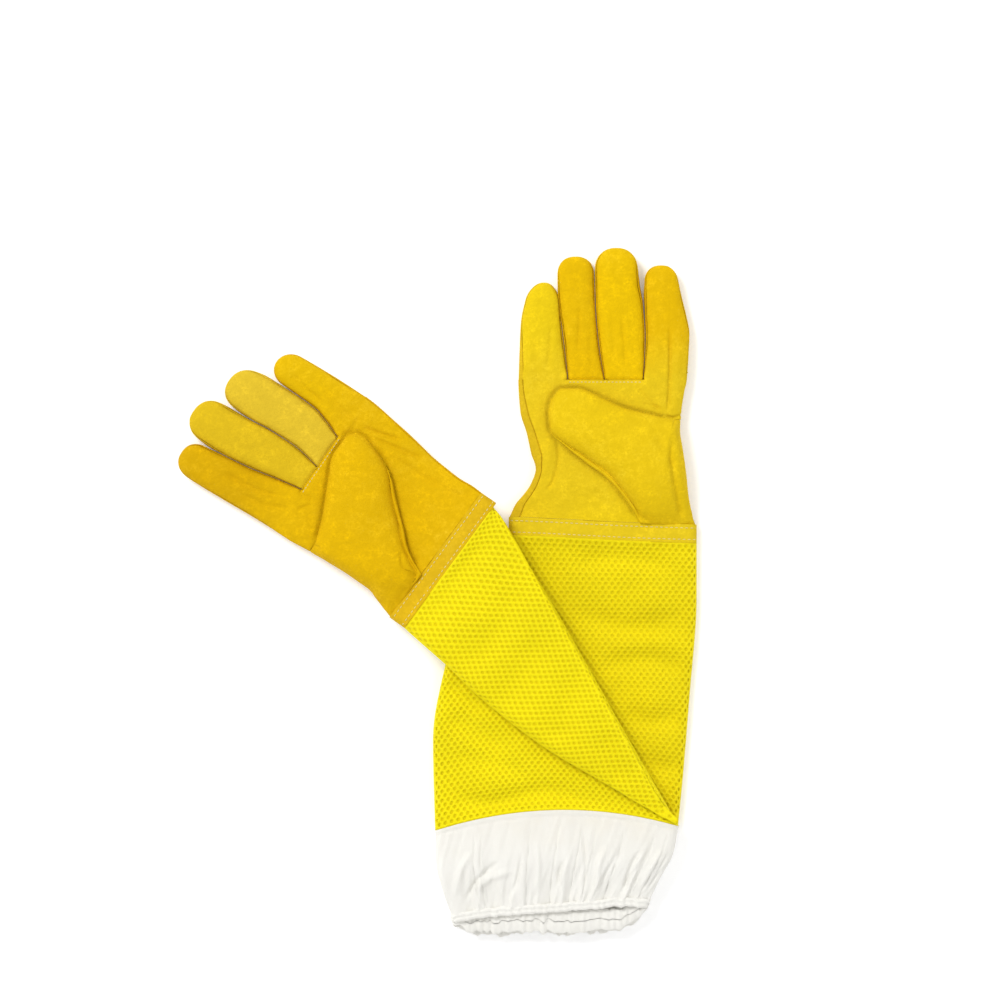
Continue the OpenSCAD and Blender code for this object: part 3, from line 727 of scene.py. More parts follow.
def hem_pieces(name, tube, body, seed):
    """The gathered casing round the mouth of a cuff, and the elastic inside it."""
    half_n = 170
    k = (np.arange(half_n) + 0.5) / half_n
    lo, hi = tube.limits(np.array(1.0))

    def loop(t):
        top = tube.points(mix(hi, lo, k), np.full(half_n, t), 1)
        under = tube.points(mix(lo, hi, k), np.full(half_n, t), -1)
        return np.concatenate([top, under])

    base = loop(1.0)
    along = unit(loop(1.04) - loop(0.96))
    around = unit(np.roll(base, -1, 0) - np.roll(base, 1, 0))
    out = unit(np.cross(around, along))
    out = out * (np.sign((out[:half_n, 2]).sum()) or 1.0)
    s = np.concatenate([[0], np.cumsum(np.linalg.norm(np.diff(base, axis=0), axis=1))])
    total = s[-1] + np.linalg.norm(base[0] - base[-1])
    wobble = noise(s, 0 * s, 4.2, seed + 11) + 0.6 * noise(s, 0 * s, 2.1, seed + 12)
    wobble = wobble * smooth(0, 8, s) * smooth(0, 8, total - s)
    pleat = np.abs(np.sin(np.pi * s / 5.1 + 1.6 * noise(s, 0 * s, 14, seed + 13)))
    under = np.concatenate([0 * k, np.sin(np.pi * k) ** 0.35])
    slant = np.concatenate([0 * k, curve([(0, -2.5), (0.35, -2.5), (0.6, 0.5), (0.85, 3.5), (1, 2)])(k)])
    base = base + along * (0.7 * wobble + under * (1.4 * wobble + slant - 3.6))[:, None]
    base[:, 2] += under * 2.2
    turn = np.radians(np.linspace(-178, 178, 29))
    section_t, section_n = np.sin(turn), np.cos(turn)
    wide = (mix(3.4, 8.6, under) * (0.94 + 0.06 * pleat))[:, None]
    deep = (mix(1.7, 1.2, under) + 0.75 * pleat + 0.45 * wobble)[:, None] * np.ones(len(turn))
    stitched = 0.9 * np.exp(-((np.degrees(turn) / 16) ** 2))[None, :] * (1 - under[:, None])
    deep = np.maximum(deep - stitched, 0.5)
    flute = (0.9 * noise(s, 0 * s, 2.2, seed + 14) * under)[:, None] * np.ones(len(turn))
    p = (base[:, None, :] + along[:, None, :] * (wide * section_t)[..., None]
         + out[:, None, :] * ((deep + flute) * section_n)[..., None] - out[:, None, :] * 0.5)
    p[..., 2] = np.maximum(p[..., 2], tube.floor + 0.05)
    away = p - base[:, None, :]
    casing = panel(f"{name}_hem", p, 0.55, CANVAS, away, wrap=True)
    keep(casing, body, [f"{name.replace('_cuff', '')}_hem_casing"])
    width = np.linspace(-2.2, 2.2, 9)
    ribs = 0.12 * np.cos(np.arange(9) * math.pi)
    tape = (base[:, None, :] + along[:, None, :] * width[None, :, None]
            + out[:, None, :] * (ribs[None, :, None] - 0.35))
    band = panel(f"{name}_elastic_tape", tape, 0.8, ELASTIC, out[:, None, :] + 0 * tape, wrap=True)
    keep(band, body, [f"{name}_elastic"])


cuff_pieces("right_cuff", "right_gauntlet", 0, 3.5, 31, 0.4)
cuff_pieces("left_cuff", "left_gauntlet", LEVEL, 1.0, 47, 1.0)


# ---------------------------------------------------------------- hands
HAND_EDGE_PINKY = (
    curve([(8, -66), (10, -65), (20, -61), (30, -55), (40, -50), (50, -47), (60, -50), (75, -53.6),
           (90, -57.8), (112, -59.2), (120, -59.2)]),
    curve([(8, -55.5), (17, -55.8), (29, -55), (46, -56), (65, -58.6), (89, -62.2), (117, -65),
           (125, -65)]),
)
HAND_EDGE_THUMB = (
    curve([(8, 66), (10, 65), (20, 62), (31, 60), (49, 58), (63, 56), (77, 54), (90, 55), (105, 57.5),
           (112, 59), (120, 59)]),
    curve([(8, 53), (15, 51), (27, 48), (40, 45), (55, 45), (72, 45.5), (88, 46.5), (108, 48.5),
           (117, 48.5), (125, 48.5)]),
)
HAND_TOP = curve([(9, 11.3), (20, 12.6), (30, 14.2), (42, 15.6), (60, 16.4), (120, 16.4)])
SEAM_ANGLE = (
    curve([(10, 140), (20, 141), (30, 143), (50, 146), (60, 136), (75, 139), (90, 143), (105, 151),
           (112, 153)]),
    curve([(10, 165), (117, 165)]),
)
HAND_SECTION = 0.42  # bends the sine and cosine of a circle into the hand's flat section
HIDE_T = 1.3
HAND_Y0 = 9.8
KNUCKLE = (112, 117)
ROOT_LOW = ((26, 10.4), (15, 10.4))
ROOT_HIGH = ((48.5, 84), (39.5, 88))
THUMB_LOW = (
    edge([[0, 26, 10.4], [0.2, 15, 28], [0.35, 4, 42], [0.55, -12, 54], [0.8, -28, 67], [0.92, -37, 77],
          [1, -38.5, 90]]),
    edge([[0, 15, 10.4], [0.2, 5, 32], [0.35, -5, 44], [0.55, -17, 58], [0.8, -31, 74], [0.92, -38, 90],
          [1, -41.5, 102]]),
)
THUMB_HIGH = (
    edge([[0, 48.5, 84], [0.2, 32, 88], [0.35, 16, 92], [0.55, 0, 99], [0.8, -18, 106], [0.92, -29, 106],
          [1, -36.5, 98]]),
    edge([[0, 39.5, 88], [0.2, 25, 93], [0.35, 12, 99], [0.55, -3, 106], [0.8, -21, 113],
          [0.92, -34, 112.5], [1, -40.5, 108]]),
)


def hand(g, y, a):
    """Point of the hand's tube at angle a in degrees, 0 at the thumb side and 90 on top."""
    l, r, h = HAND_EDGE_PINKY[g](y), HAND_EDGE_THUMB[g](y), HAND_TOP(y)
    c, s = np.cos(np.radians(a)), np.sin(np.radians(a))
    return (l + r) / 2 + (r - l) / 2 * power(c, HAND_SECTION), y, h / 2 + h / 2 * power(s, HAND_SECTION)


def root_x(g, y):
    (ax, ay), (bx, by) = ROOT_LOW[g], ROOT_HIGH[g]
    return mix(ax, bx, np.clip((y - ay) / (by - ay), 0, 1))


# Grooves and ridges in the leather: line, height and width. Each glove has its own.
RIGHT_FRONT_FOLDS = (
    ([(-32.7, 72), (-31, 59), (-34.5, 42), (-41, 31)], -1.0, 1.5),
    ([(-39, 76), (-38, 58), (-42, 42)], 0.6, 4.0),
    ([(46.9, 156), (46.9, 124), (46.4, 105), (45, 86)], -1.25, 1.3),
    ([(53, 140), (52, 110), (51, 98), (50, 88)], 0.5, 3.0),
    ([(35, 134), (33, 122), (36, 113)], -0.6, 2.2),
    ([(13.6, 158), (15, 138), (16.3, 120)], -0.7, 1.8),
    ([(6, 160), (7, 140), (9, 122)], -0.45, 2.4),
    ([(-16.1, 165), (-16.5, 150), (-17.8, 130)], -0.7, 1.8),
    ([(-9, 150), (-9, 130), (-7, 118)], -0.45, 2.0),
    ([(-36, 150), (-37, 135), (-39, 116)], -0.7, 2.0),
    ([(-47, 142), (-47, 124), (-45, 106)], -0.55, 3.0),
    ([(23, 108), (33, 96), (40, 91)], -0.6, 1.6),
    ([(27, 96), (41.6, 91)], -0.6, 1.3),
    ([(43, 87.5), (48.6, 85.5), (56, 88.5)], -1.2, 1.0),
    ([(-50, 96), (-46, 108), (-45, 113)], -0.4, 4.0),
    ([(-24, 24), (-5, 30), (6, 24)], -0.35, 8.0),
)
LEFT_FRONT_FOLDS = (
    ([(-45.5, 108), (-50, 92), (-55, 78)], -1.2, 1.8),
    ([(-43.6, 99), (-48, 76), (-52, 58)], -1.1, 2.0),
    ([(-40.6, 82), (-41, 57), (-45, 34)], -0.9, 3.0),
    ([(-41, 40), (-45, 23), (-52, 14)], -0.9, 3.0),
    ([(-52, 62), (-50, 44), (-53, 26)], 0.5, 2.5),
    ([(17, 118), (15.4, 106)], -0.7, 1.6),
    ([(27.7, 112), (17.3, 105)], -0.6, 1.4),
    ([(-33, 116), (-42, 112), (-52, 113)], -0.5, 2.0),
    ([(31, 184), (29, 164), (26, 142)], 0.5, 3.0),
    ([(35, 172), (33, 148), (25, 122)], -0.9, 2.2),
    ([(41, 156), (38, 134), (28, 114)], -0.8, 2.4),
    ([(12, 182), (12, 160), (10, 140)], -0.45, 3.0),
    ([(0, 162), (1, 145), (3, 128)], -0.5, 2.0),
    ([(-24, 182), (-23, 160), (-20, 135)], -0.45, 3.0),
    ([(-49, 170), (-45.5, 154), (-44, 136)], -1.0, 2.2),
    ([(-52, 146), (-49, 130), (-44, 116)], -0.7, 2.4),
)
FRONT_FOLDS = (RIGHT_FRONT_FOLDS, LEFT_FRONT_FOLDS)
RIGHT_THUMB_FOLDS = (
    ([(48, 76), (48.6, 59), (50.4, 42), (54, 21), (55.6, 11)], -1.9, 2.6),
    ([(36, 74), (44, 62), (51, 50)], -0.9, 3.0),
    ([(-30, 96), (-22, 90), (-16, 80)], -0.4, 4.0),
    ([(6, 84), (22, 74), (34, 66)], -0.35, 5.0),
)
LEFT_THUMB_FOLDS = (
    ([(9, 36), (18, 23), (18.5, 11)], -0.9, 1.5),
    ([(41, 34), (31, 31), (23, 27)], 0.5, 3.5),
    ([(38, 26), (33, 16), (34, 10)], -0.5, 3.0),
    ([(30, 80), (36, 60), (38, 44)], -0.4, 4.0),
)
THUMB_FOLDS = (RIGHT_THUMB_FOLDS, LEFT_THUMB_FOLDS)


def folded(x, y, lines, seed, rough=0.3):
    """Height of a hide's soft bumps, its long wrinkles and its drawn folds."""
    wrinkles = 0.75 * noise(x, y / 4, 5.5, seed + 2)
    h = rough * (noise(x, y, 19, seed) + 0.4 * noise(x, y, 7, seed + 1) + wrinkles)
    for points, height, width in lines:
        h = h + fold_line(x, y, points, 1.45 * height, 0.9 * width)
    return h


def thumb_outline(g):
    """Points along the edge of the folded thumb, where it presses into the palm."""
    low = [THUMB_LOW[g](u) for u in (0.04, 0.2, 0.35, 0.5, 0.65, 0.8, 0.92, 1)]
    high = [THUMB_HIGH[g](u) for u in (1, 0.92, 0.8, 0.65, 0.5, 0.35, 0.2, 0.04)]
    return [(float(x), float(y)) for x, y in low + high]


def seam_reach(g, x):
    """1 over the middle and ring fingers, whose fronts are sewn on, fading to 0 beside them."""
    low, high = ((-26, 28), (-31, 16))[g]
    return smooth(low - 2, low + 1, x) * (1 - smooth(high - 1, high + 2, x))


def palm_panel(g):
    """The palm side's hide, from the pinky's seam to the thumb side, where it runs under the wing."""
    length = KNUCKLE[g] + 0.2 - HAND_Y0
    y, k = grid(HAND_Y0 + stations(length, 0.8) * length, stations(115, 0.8))
    x, y, z = hand(g, y, spread(0.0, SEAM_ANGLE[g](y), k, HAND_SECTION))
    under_wing = smooth(0, 6, x - root_x(g, y)) * (1 - smooth(-1.5, 0.5, y - ROOT_HIGH[g][1]))
    v = (y - HAND_Y0) / length
    h = folded(x, y, FRONT_FOLDS[g], 100 + g)
    h = h + fold_line(x, y, thumb_outline(g), -1.3, 2.0, 0.02)
    h = h + edge_roll(k, 115, both=False) - 2.2 * under_wing
    h = h - 1.3 * np.exp(-((1 - v) * length / 1.1) ** 2) * seam_reach(g, x)
    p = place(g, x, y, z)
    piece = panel(f"{HANDS[g]}_palm", p, HIDE_T, HIDE[("palm", "amber")[g]], np.array([0, 0, 1]), h)
    keep(piece, None, [f"{HANDS[g]}_palm_panel"])
    blend_at_wrist(piece, g)


def back_panel(g):
    """The back of the hand, which comes round the pinky side as far as the palm's seam."""
    length = KNUCKLE[g] + 0.2 - HAND_Y0
    y, k = grid(HAND_Y0 + stations(length, 2.0) * length, stations(170, 2.2))
    x, y, z = hand(g, y, mix(SEAM_ANGLE[g](y), 360, k))
    h = 0.25 * noise(x, y, 17, 120 + g) + edge_roll(k, 170)
    h = np.where(z < HAND_TOP(y) / 2, np.minimum(h, 0), h)
    p = place(g, x, y, z)
    centre = place(g, (HAND_EDGE_PINKY[g](y) + HAND_EDGE_THUMB[g](y)) / 2, y, HAND_TOP(y) / 2)
    piece = panel(f"{HANDS[g]}_back", p, HIDE_T, BACK_HIDE[g], p - centre, h)
    keep(piece, None, [f"{HANDS[g]}_back_panel"])
    blend_at_wrist(piece, g)


def blend_between(piece, g, start, end):
    """Bakes a piece of hand g into its mesh where it lies; the two points in mm are turned into floor
    positions, but no blend from one body to the next is made.
    """
    ends = [(*place(g, *point, 0.0)[:2] * MM, 0.0) for point in (start, end)]
    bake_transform(piece)


def blend_at_wrist(piece, g):
    blend_between(piece, g, (0, 11), (0, 26))


THUMB_RISE = 11.9
THUMB_FOOT = 1.5


def thumb_front(g):
    """The wing at the side of the hand and the thumb folded over the palm, as one hide."""
    s_angle = np.linspace(-89.3, 89.3, 65)
    s_row = np.sin(np.radians(s_angle))
    q_row = np.concatenate([-stations(40, 2.0)[::-1], (stations(110, 1.6) ** 0.94)[1:]])
    q, s = grid(q_row, s_row)
    u, k = np.clip(q, 0, 1), np.clip(-q, 0, 1)
    (ax, ay), (bx, by) = ROOT_LOW[g], ROOT_HIGH[g]
    rx, ry = mix(ax, bx, (s + 1) / 2), mix(ay, by, (s + 1) / 2)
    lx, ly = THUMB_LOW[g](u)
    hx, hy = THUMB_HIGH[g](u)
    tx, ty = mix(lx, hx, (s + 1) / 2), mix(ly, hy, (s + 1) / 2)
    side_x = HAND_EDGE_THUMB[g](ry)
    turn = np.radians(90 * k)
    x = np.where(q < 0, rx + (side_x - rx) * np.sin(turn) ** 0.8, tx)
    y = np.where(q < 0, ry, ty)
    roundness = mix(mix(2.0, 1.45, smooth(0, 0.7, k)), 2.5, smooth(0, 0.5, u))
    across = np.where(q < 0, math.hypot(bx - ax, by - ay), np.hypot(hx - lx, hy - ly))
    from_edge = (s + 1) / 2 * across
    welt = 3.5 * smooth(0.98, 0.55, u) * (1 - smooth(0, 0.12, k))
    main = np.clip((from_edge - welt) / np.maximum(across - welt, 1e-6), 0, 1) * 2 - 1
    dome = np.maximum(0, 1 - np.abs(main) ** roundness) ** (1 / roundness)
    off_welt = (from_edge - welt / 2) / np.maximum(welt / 2, 0.2)
    ridge = 2.6 * np.sqrt(np.maximum(0, 1 - off_welt ** 2))
    ridge = ridge * smooth(0.3, 2.0, welt) * (1 - smooth(0.95, 1, u))
    taper = 0.86 * np.sqrt(np.maximum(0, 1 - u ** 5)) + 0.14 * (1 - smooth(0.94, 1, u))
    palm = HAND_TOP(y)
    near_root = np.where(q < 0, 1.0, 1 - smooth(0.02, 0.09, u))
    low_edge = near_root * smooth(-0.8, -0.97, s)
    high_edge = near_root * smooth(0.8, 0.97, s) * smooth(0, 0.1, k)
    foot = mix(THUMB_FOOT, -0.7, np.maximum(low_edge, high_edge))
    y = y - 1.2 * low_edge
    top = palm + 0.8 + foot + THUMB_RISE * dome * taper + ridge
    low = palm / 2 + 0.5
    z = np.where(q < 0, low + (top - low) * np.cos(turn) ** 0.7, top)
    h = folded(x, y, THUMB_FOLDS[g], 140 + g, 0.3)
    h = h * smooth(0, 0.08, 1 - np.abs(s)) * (1 - smooth(0.93, 1.0, u))
    p = place(g, x, y, z)
    piece = panel(f"{HANDS[g]}_thumb", p, HIDE_T, HIDE[("wing", "amber")[g]], np.array([0, 0, 1]), h)
    keep(piece, None,
         [f"{HANDS[g]}_thumb_wing", f"{HANDS[g]}_thumb_front"])
    blend_at_thumb(piece, g)


def blend_at_thumb(piece, g):
    low, high = np.array(ROOT_LOW[g]), np.array(ROOT_HIGH[g])
    middle, (dx, dy) = (low + high) / 2, unit(high - low)
    across = np.array([-dy, dx])
    blend_between(piece, g, middle + 1 * across, middle + 20 * across)


def thumb_back(g):
    """The folded thumb's other side, which lies on the palm."""
    u, s = grid(stations(95, 2.0) * 0.985 + 0.008, np.linspace(-0.93, 0.93, 27))
    lx, ly = THUMB_LOW[g](u)
    hx, hy = THUMB_HIGH[g](u)
    x, y = mix(lx, hx, (s + 1) / 2), mix(ly, hy, (s + 1) / 2)
    z = HAND_TOP(y) + 0.95 + 0.12 * noise(x, y, 15, 150 + g)
    p = place(g, x, y, z)
    piece = panel(f"{HANDS[g]}_thumb_underside", p, 1.2, BACK_HIDE[g], np.array([0, 0, -1]))
    keep(piece, None, [f"{HANDS[g]}_thumb_back"])
    blend_at_thumb(piece, g)


# ---------------------------------------------------------------- wrist bands and stitches
def band_at(g, f, y):
    """Point of the band at fraction f of its way round, from the thumb side over the top."""
    l, r = float(HAND_EDGE_PINKY[g](8)), float(HAND_EDGE_THUMB[g](8))
    rad = SLEEVE_H / 2
    straight, arc = r - l - 2 * rad, math.pi * rad
    total = 2 * (straight + arc)
    s = np.mod(f, 1) * total - arc / 2
    under = s - straight - arc
    turned = np.clip(s, -arc / 2, 0) + np.clip(s - straight, 0, arc) + np.clip(under - straight, 0, arc / 2)
    angle = math.pi / 2 + turned / rad
    x = r - rad - np.clip(s, 0, straight) + np.clip(under, 0, straight) + rad * np.cos(angle)
    return x, y, rad + rad * np.sin(angle), total


BAND_LOW, BAND_HIGH = -1.2, 9.7
LAP = 8  # where one end of the band lies over the other, beside the thumb's root


def wrist_band(g):
    """The doubled band over the wrist seam, pressed in along its rows of stitches."""
    n = 240
    f, v = grid(np.arange(n) / n, np.array([0, 0.3, 0.8, 1.5, 2.4, 3.4, 4.4, 5.4, 6.4, 7.4, 8.4, 9.4, 10.1,
                                                   10.6, 10.9]))
    y = BAND_LOW + v * (BAND_HIGH - BAND_LOW) / 10.9
    x, y, z, total = band_at(g, f, y)
    h = 0.3 - 0.5 * np.exp(-((v / 0.8) ** 2)) - 0.35 * np.exp(-(((10.9 - v) / 0.7) ** 2))
    for row in ROWS:
        h = h - 0.3 * np.exp(-((y - row) / 0.9) ** 2)
    h = h + 0.1 * noise(f * total, v, 9, 160 + g) + 0.12 * noise(f * total, v, 3, 161 + g)
    lap = LAP + ROOT_LOW[g][0]
    over = smooth(lap - 1.2, lap, x) * (z > SLEEVE_H * 0.6)
    h = h + 0.55 * over
    h = mix(np.minimum(h, 0.0), h, smooth(0.75, 0.95, z / SLEEVE_H))
    p = place(g, x, y, z)
    if g == RIGHT:
        p[..., 2] = np.maximum(p[..., 2], 0.02)
    centre = place(g, 0 * x, y, 0 * z + SLEEVE_H / 2)
    piece = panel(f"{HANDS[g]}_band", p, 1.8, HIDE[("band", "band_amber")[g]], p - centre, h, wrap=True)
    keep(piece, SLEEVE_BODY[g],
         [f"{HANDS[g]}_wrist_band"])


ROWS = (1.0, 7.6)  # the band's rows of stitches, up from the seam
STITCH_PITCH = 3.5


def stitch_mesh(name, centres, along, up, length, width, material):
    """Separate stitches: a small pillow of thread at each centre."""
    t = np.array([-1, -0.75, -0.3, 0.3, 0.75, 1])
    fat = np.array([0.15, 0.75, 1, 1, 0.75, 0.15])
    a = np.arange(8) * math.pi / 4
    side = unit(np.cross(along, up))
    ring = (centres[:, None, None, :] + along[:, None, None, :] * (t * length / 2)[None, :, None, None]
            + side[:, None, None, :] * (fat[:, None] * np.cos(a)[None, :] * width / 2)[None, :, :, None]
            + up[:, None, None, :] * (fat[:, None] * np.sin(a)[None, :] * width * 0.36)[None, :, :, None])
    n = len(centres)
    points = ring.reshape(-1, 3)
    base = (np.arange(n) * 48)[:, None]
    quads = []
    for i in range(5):
        for j in range(8):
            k = (j + 1) % 8
            quads.append(base + np.array([[i * 8 + j, i * 8 + k, i * 8 + 8 + k, i * 8 + 8 + j]]))
    caps = [base + np.arange(8)[None, ::-1], base + np.arange(40, 48)[None, :]]
    return make_mesh(name, points, [np.concatenate(quads), *caps], material)


def band_stitches(g):
    """Two rows of stitches all round the band, lifted where they show and sunk at its sides."""
    centres, along, up = [], [], []
    for row in ROWS:
        total = band_at(g, np.array(0.0), row)[3]
        n = int(total / STITCH_PITCH)
        f = (np.arange(n) + 0.5 * (row == ROWS[0])) / n
        step = 0.9 / total
        here, ahead, behind = (place(g, *band_at(g, f + d, row)[:3]) for d in (0, step, -step))
        beside = place(g, *band_at(g, f, row + 0.5)[:3])
        direction = unit(ahead - behind)
        normal = unit(np.cross(direction, beside - here))
        x, y, z, _ = band_at(g, f, row)
        centre = place(g, 0 * x, y + 0 * x, 0 * z + SLEEVE_H / 2)
        normal = normal * np.sign((normal * (here - centre)).sum())
        lift = np.where(x > LAP + ROOT_LOW[g][0], 0.75, 0.22)
        lift = mix(-0.25, lift, smooth(0.75, 0.95, z / SLEEVE_H))
        centres.append(here + normal * lift[:, None])
        along.append(direction)
        up.append(normal)
    centres, along, up = (np.concatenate(v) for v in (centres, along, up))
    piece = stitch_mesh(f"{HANDS[g]}_band_thread", centres, along, up, 2.2, 0.62, THREAD)
    keep(piece, SLEEVE_BODY[g], [f"{HANDS[g]}_band_stitches"])


def seam_stitches(g):
    """Stitches below the fronts that are sewn on, those of the middle and ring fingers."""
    lo, hi = ((-23, 28), (-29, 15))[g]
    xs = np.arange(lo, hi, 2.7)
    y = np.full(len(xs), KNUCKLE[g] - 1.5)
    z = HAND_TOP(y) + folded(xs, y, FRONT_FOLDS[g], 100 + g) - 0.12
    here = place(g, xs, y, z)
    along = unit(place(g, xs + 0.5, y, z) - place(g, xs - 0.5, y, z))
    up = np.zeros_like(here) + np.array([0, 0, 1.0])
    piece = stitch_mesh(f"{HANDS[g]}_finger_seam_thread", here, along, up, 1.7, 0.6, THREAD)
    keep(piece, f"{HANDS[g]}_hand", [f"{HANDS[g]}_front_seam_stitches"])


# ---------------------------------------------------------------- fingers
# Each finger: name, fingertip, and its two edges as (y, x), pinky side first.
FINGERS = (
    (
        ("index", 192.6, [(112, 28.2), (121, 29), (142, 29.9), (164, 29.4), (193, 28.9)],
         [(112, 59), (129, 60.2), (145, 60.9), (157, 58.8), (171, 55.4), (184, 52.9), (193, 52.4)]),
        ("middle", 204.9, [(112, 1.2), (138, -2.9), (164, -5), (193, -5.6), (205, -5)],
         [(112, 28.2), (121, 28.9), (142, 29.6), (164, 28.2), (182, 25.2), (205, 24)]),
        ("ring", 198.8, [(112, -24.4), (135, -26.9), (147, -28.4), (177, -31.8), (199, -32)],
         [(112, 1.2), (138, -3), (164, -5.3), (199, -6.2)]),
        ("pinky", 180.6, [(112, -59.2), (130, -58.6), (152, -57.6), (170, -54), (181, -51.2)],
         [(112, -24.4), (135, -27), (147, -28.5), (177, -31.2)]),
    ),
    (
        ("index", 201.8, [(117, 13.9), (133, 17), (158, 22.6), (176, 25.3), (189, 27.3), (202, 28)],
         [(117, 48.5), (134, 49.4), (161, 51.3), (186, 52.6), (202, 52)]),
        ("middle", 211.2, [(117, -5.2), (140, -8.3), (159, -7.7), (172, -6), (185, -4.6), (211, -3.4)],
         [(117, 13.9), (133, 17), (158, 22.4), (176, 25), (190, 26), (211, 26)]),
        ("ring", 202.9,
         [(117, -30.2), (130, -35.1), (143, -38.3), (158, -38.6), (175, -37.8), (203, -34.8)],
         [(117, -5.2), (140, -8.4), (159, -8), (172, -6.6), (203, -5.8)]),
        ("pinky", 182.9, [(117, -65), (135, -64.6), (154, -63.7), (171, -62.4), (183, -61.2)],
         [(117, -30.2), (130, -35.1), (143, -38.4), (158, -38.8), (183, -38.8)]),
    ),
)
FINGER_MID = 8.2  # height of a finger's middle
FINGER_GAP = 0.15
FINGER_T = 1.25
FRONT_EDGE = 15  # angle above the middle where a finger's front meets its side strip
FRONT_COLOUR = {
    "right_index": (0.785, 0.485, 0.0010), "right_pinky": (0.825, 0.590, 0.0070),
    "left_index": (0.670, 0.390, 0.0008), "left_pinky": (0.760, 0.475, 0.0010),
}
FRONT_HIDE = {
    "right_middle": "middle", "right_ring": "deep",
    "left_middle": "straw", "left_ring": "pale_straw",
}


def front_hide(g, label, x, base):
    """Index and pinky fronts are cut in one with the palm, so they start in its colour."""
    if label in FRONT_HIDE:
        return HIDE[FRONT_HIDE[label]]
    start, end = (place(g, np.array(x), np.array(base + d), np.array(0.0)) * [1, 1, 0] for d in (0.0, 34.0))
    return leather(f"suede_{label}", FRONT_COLOUR[label], (PALM_COLOUR[g], start, end))


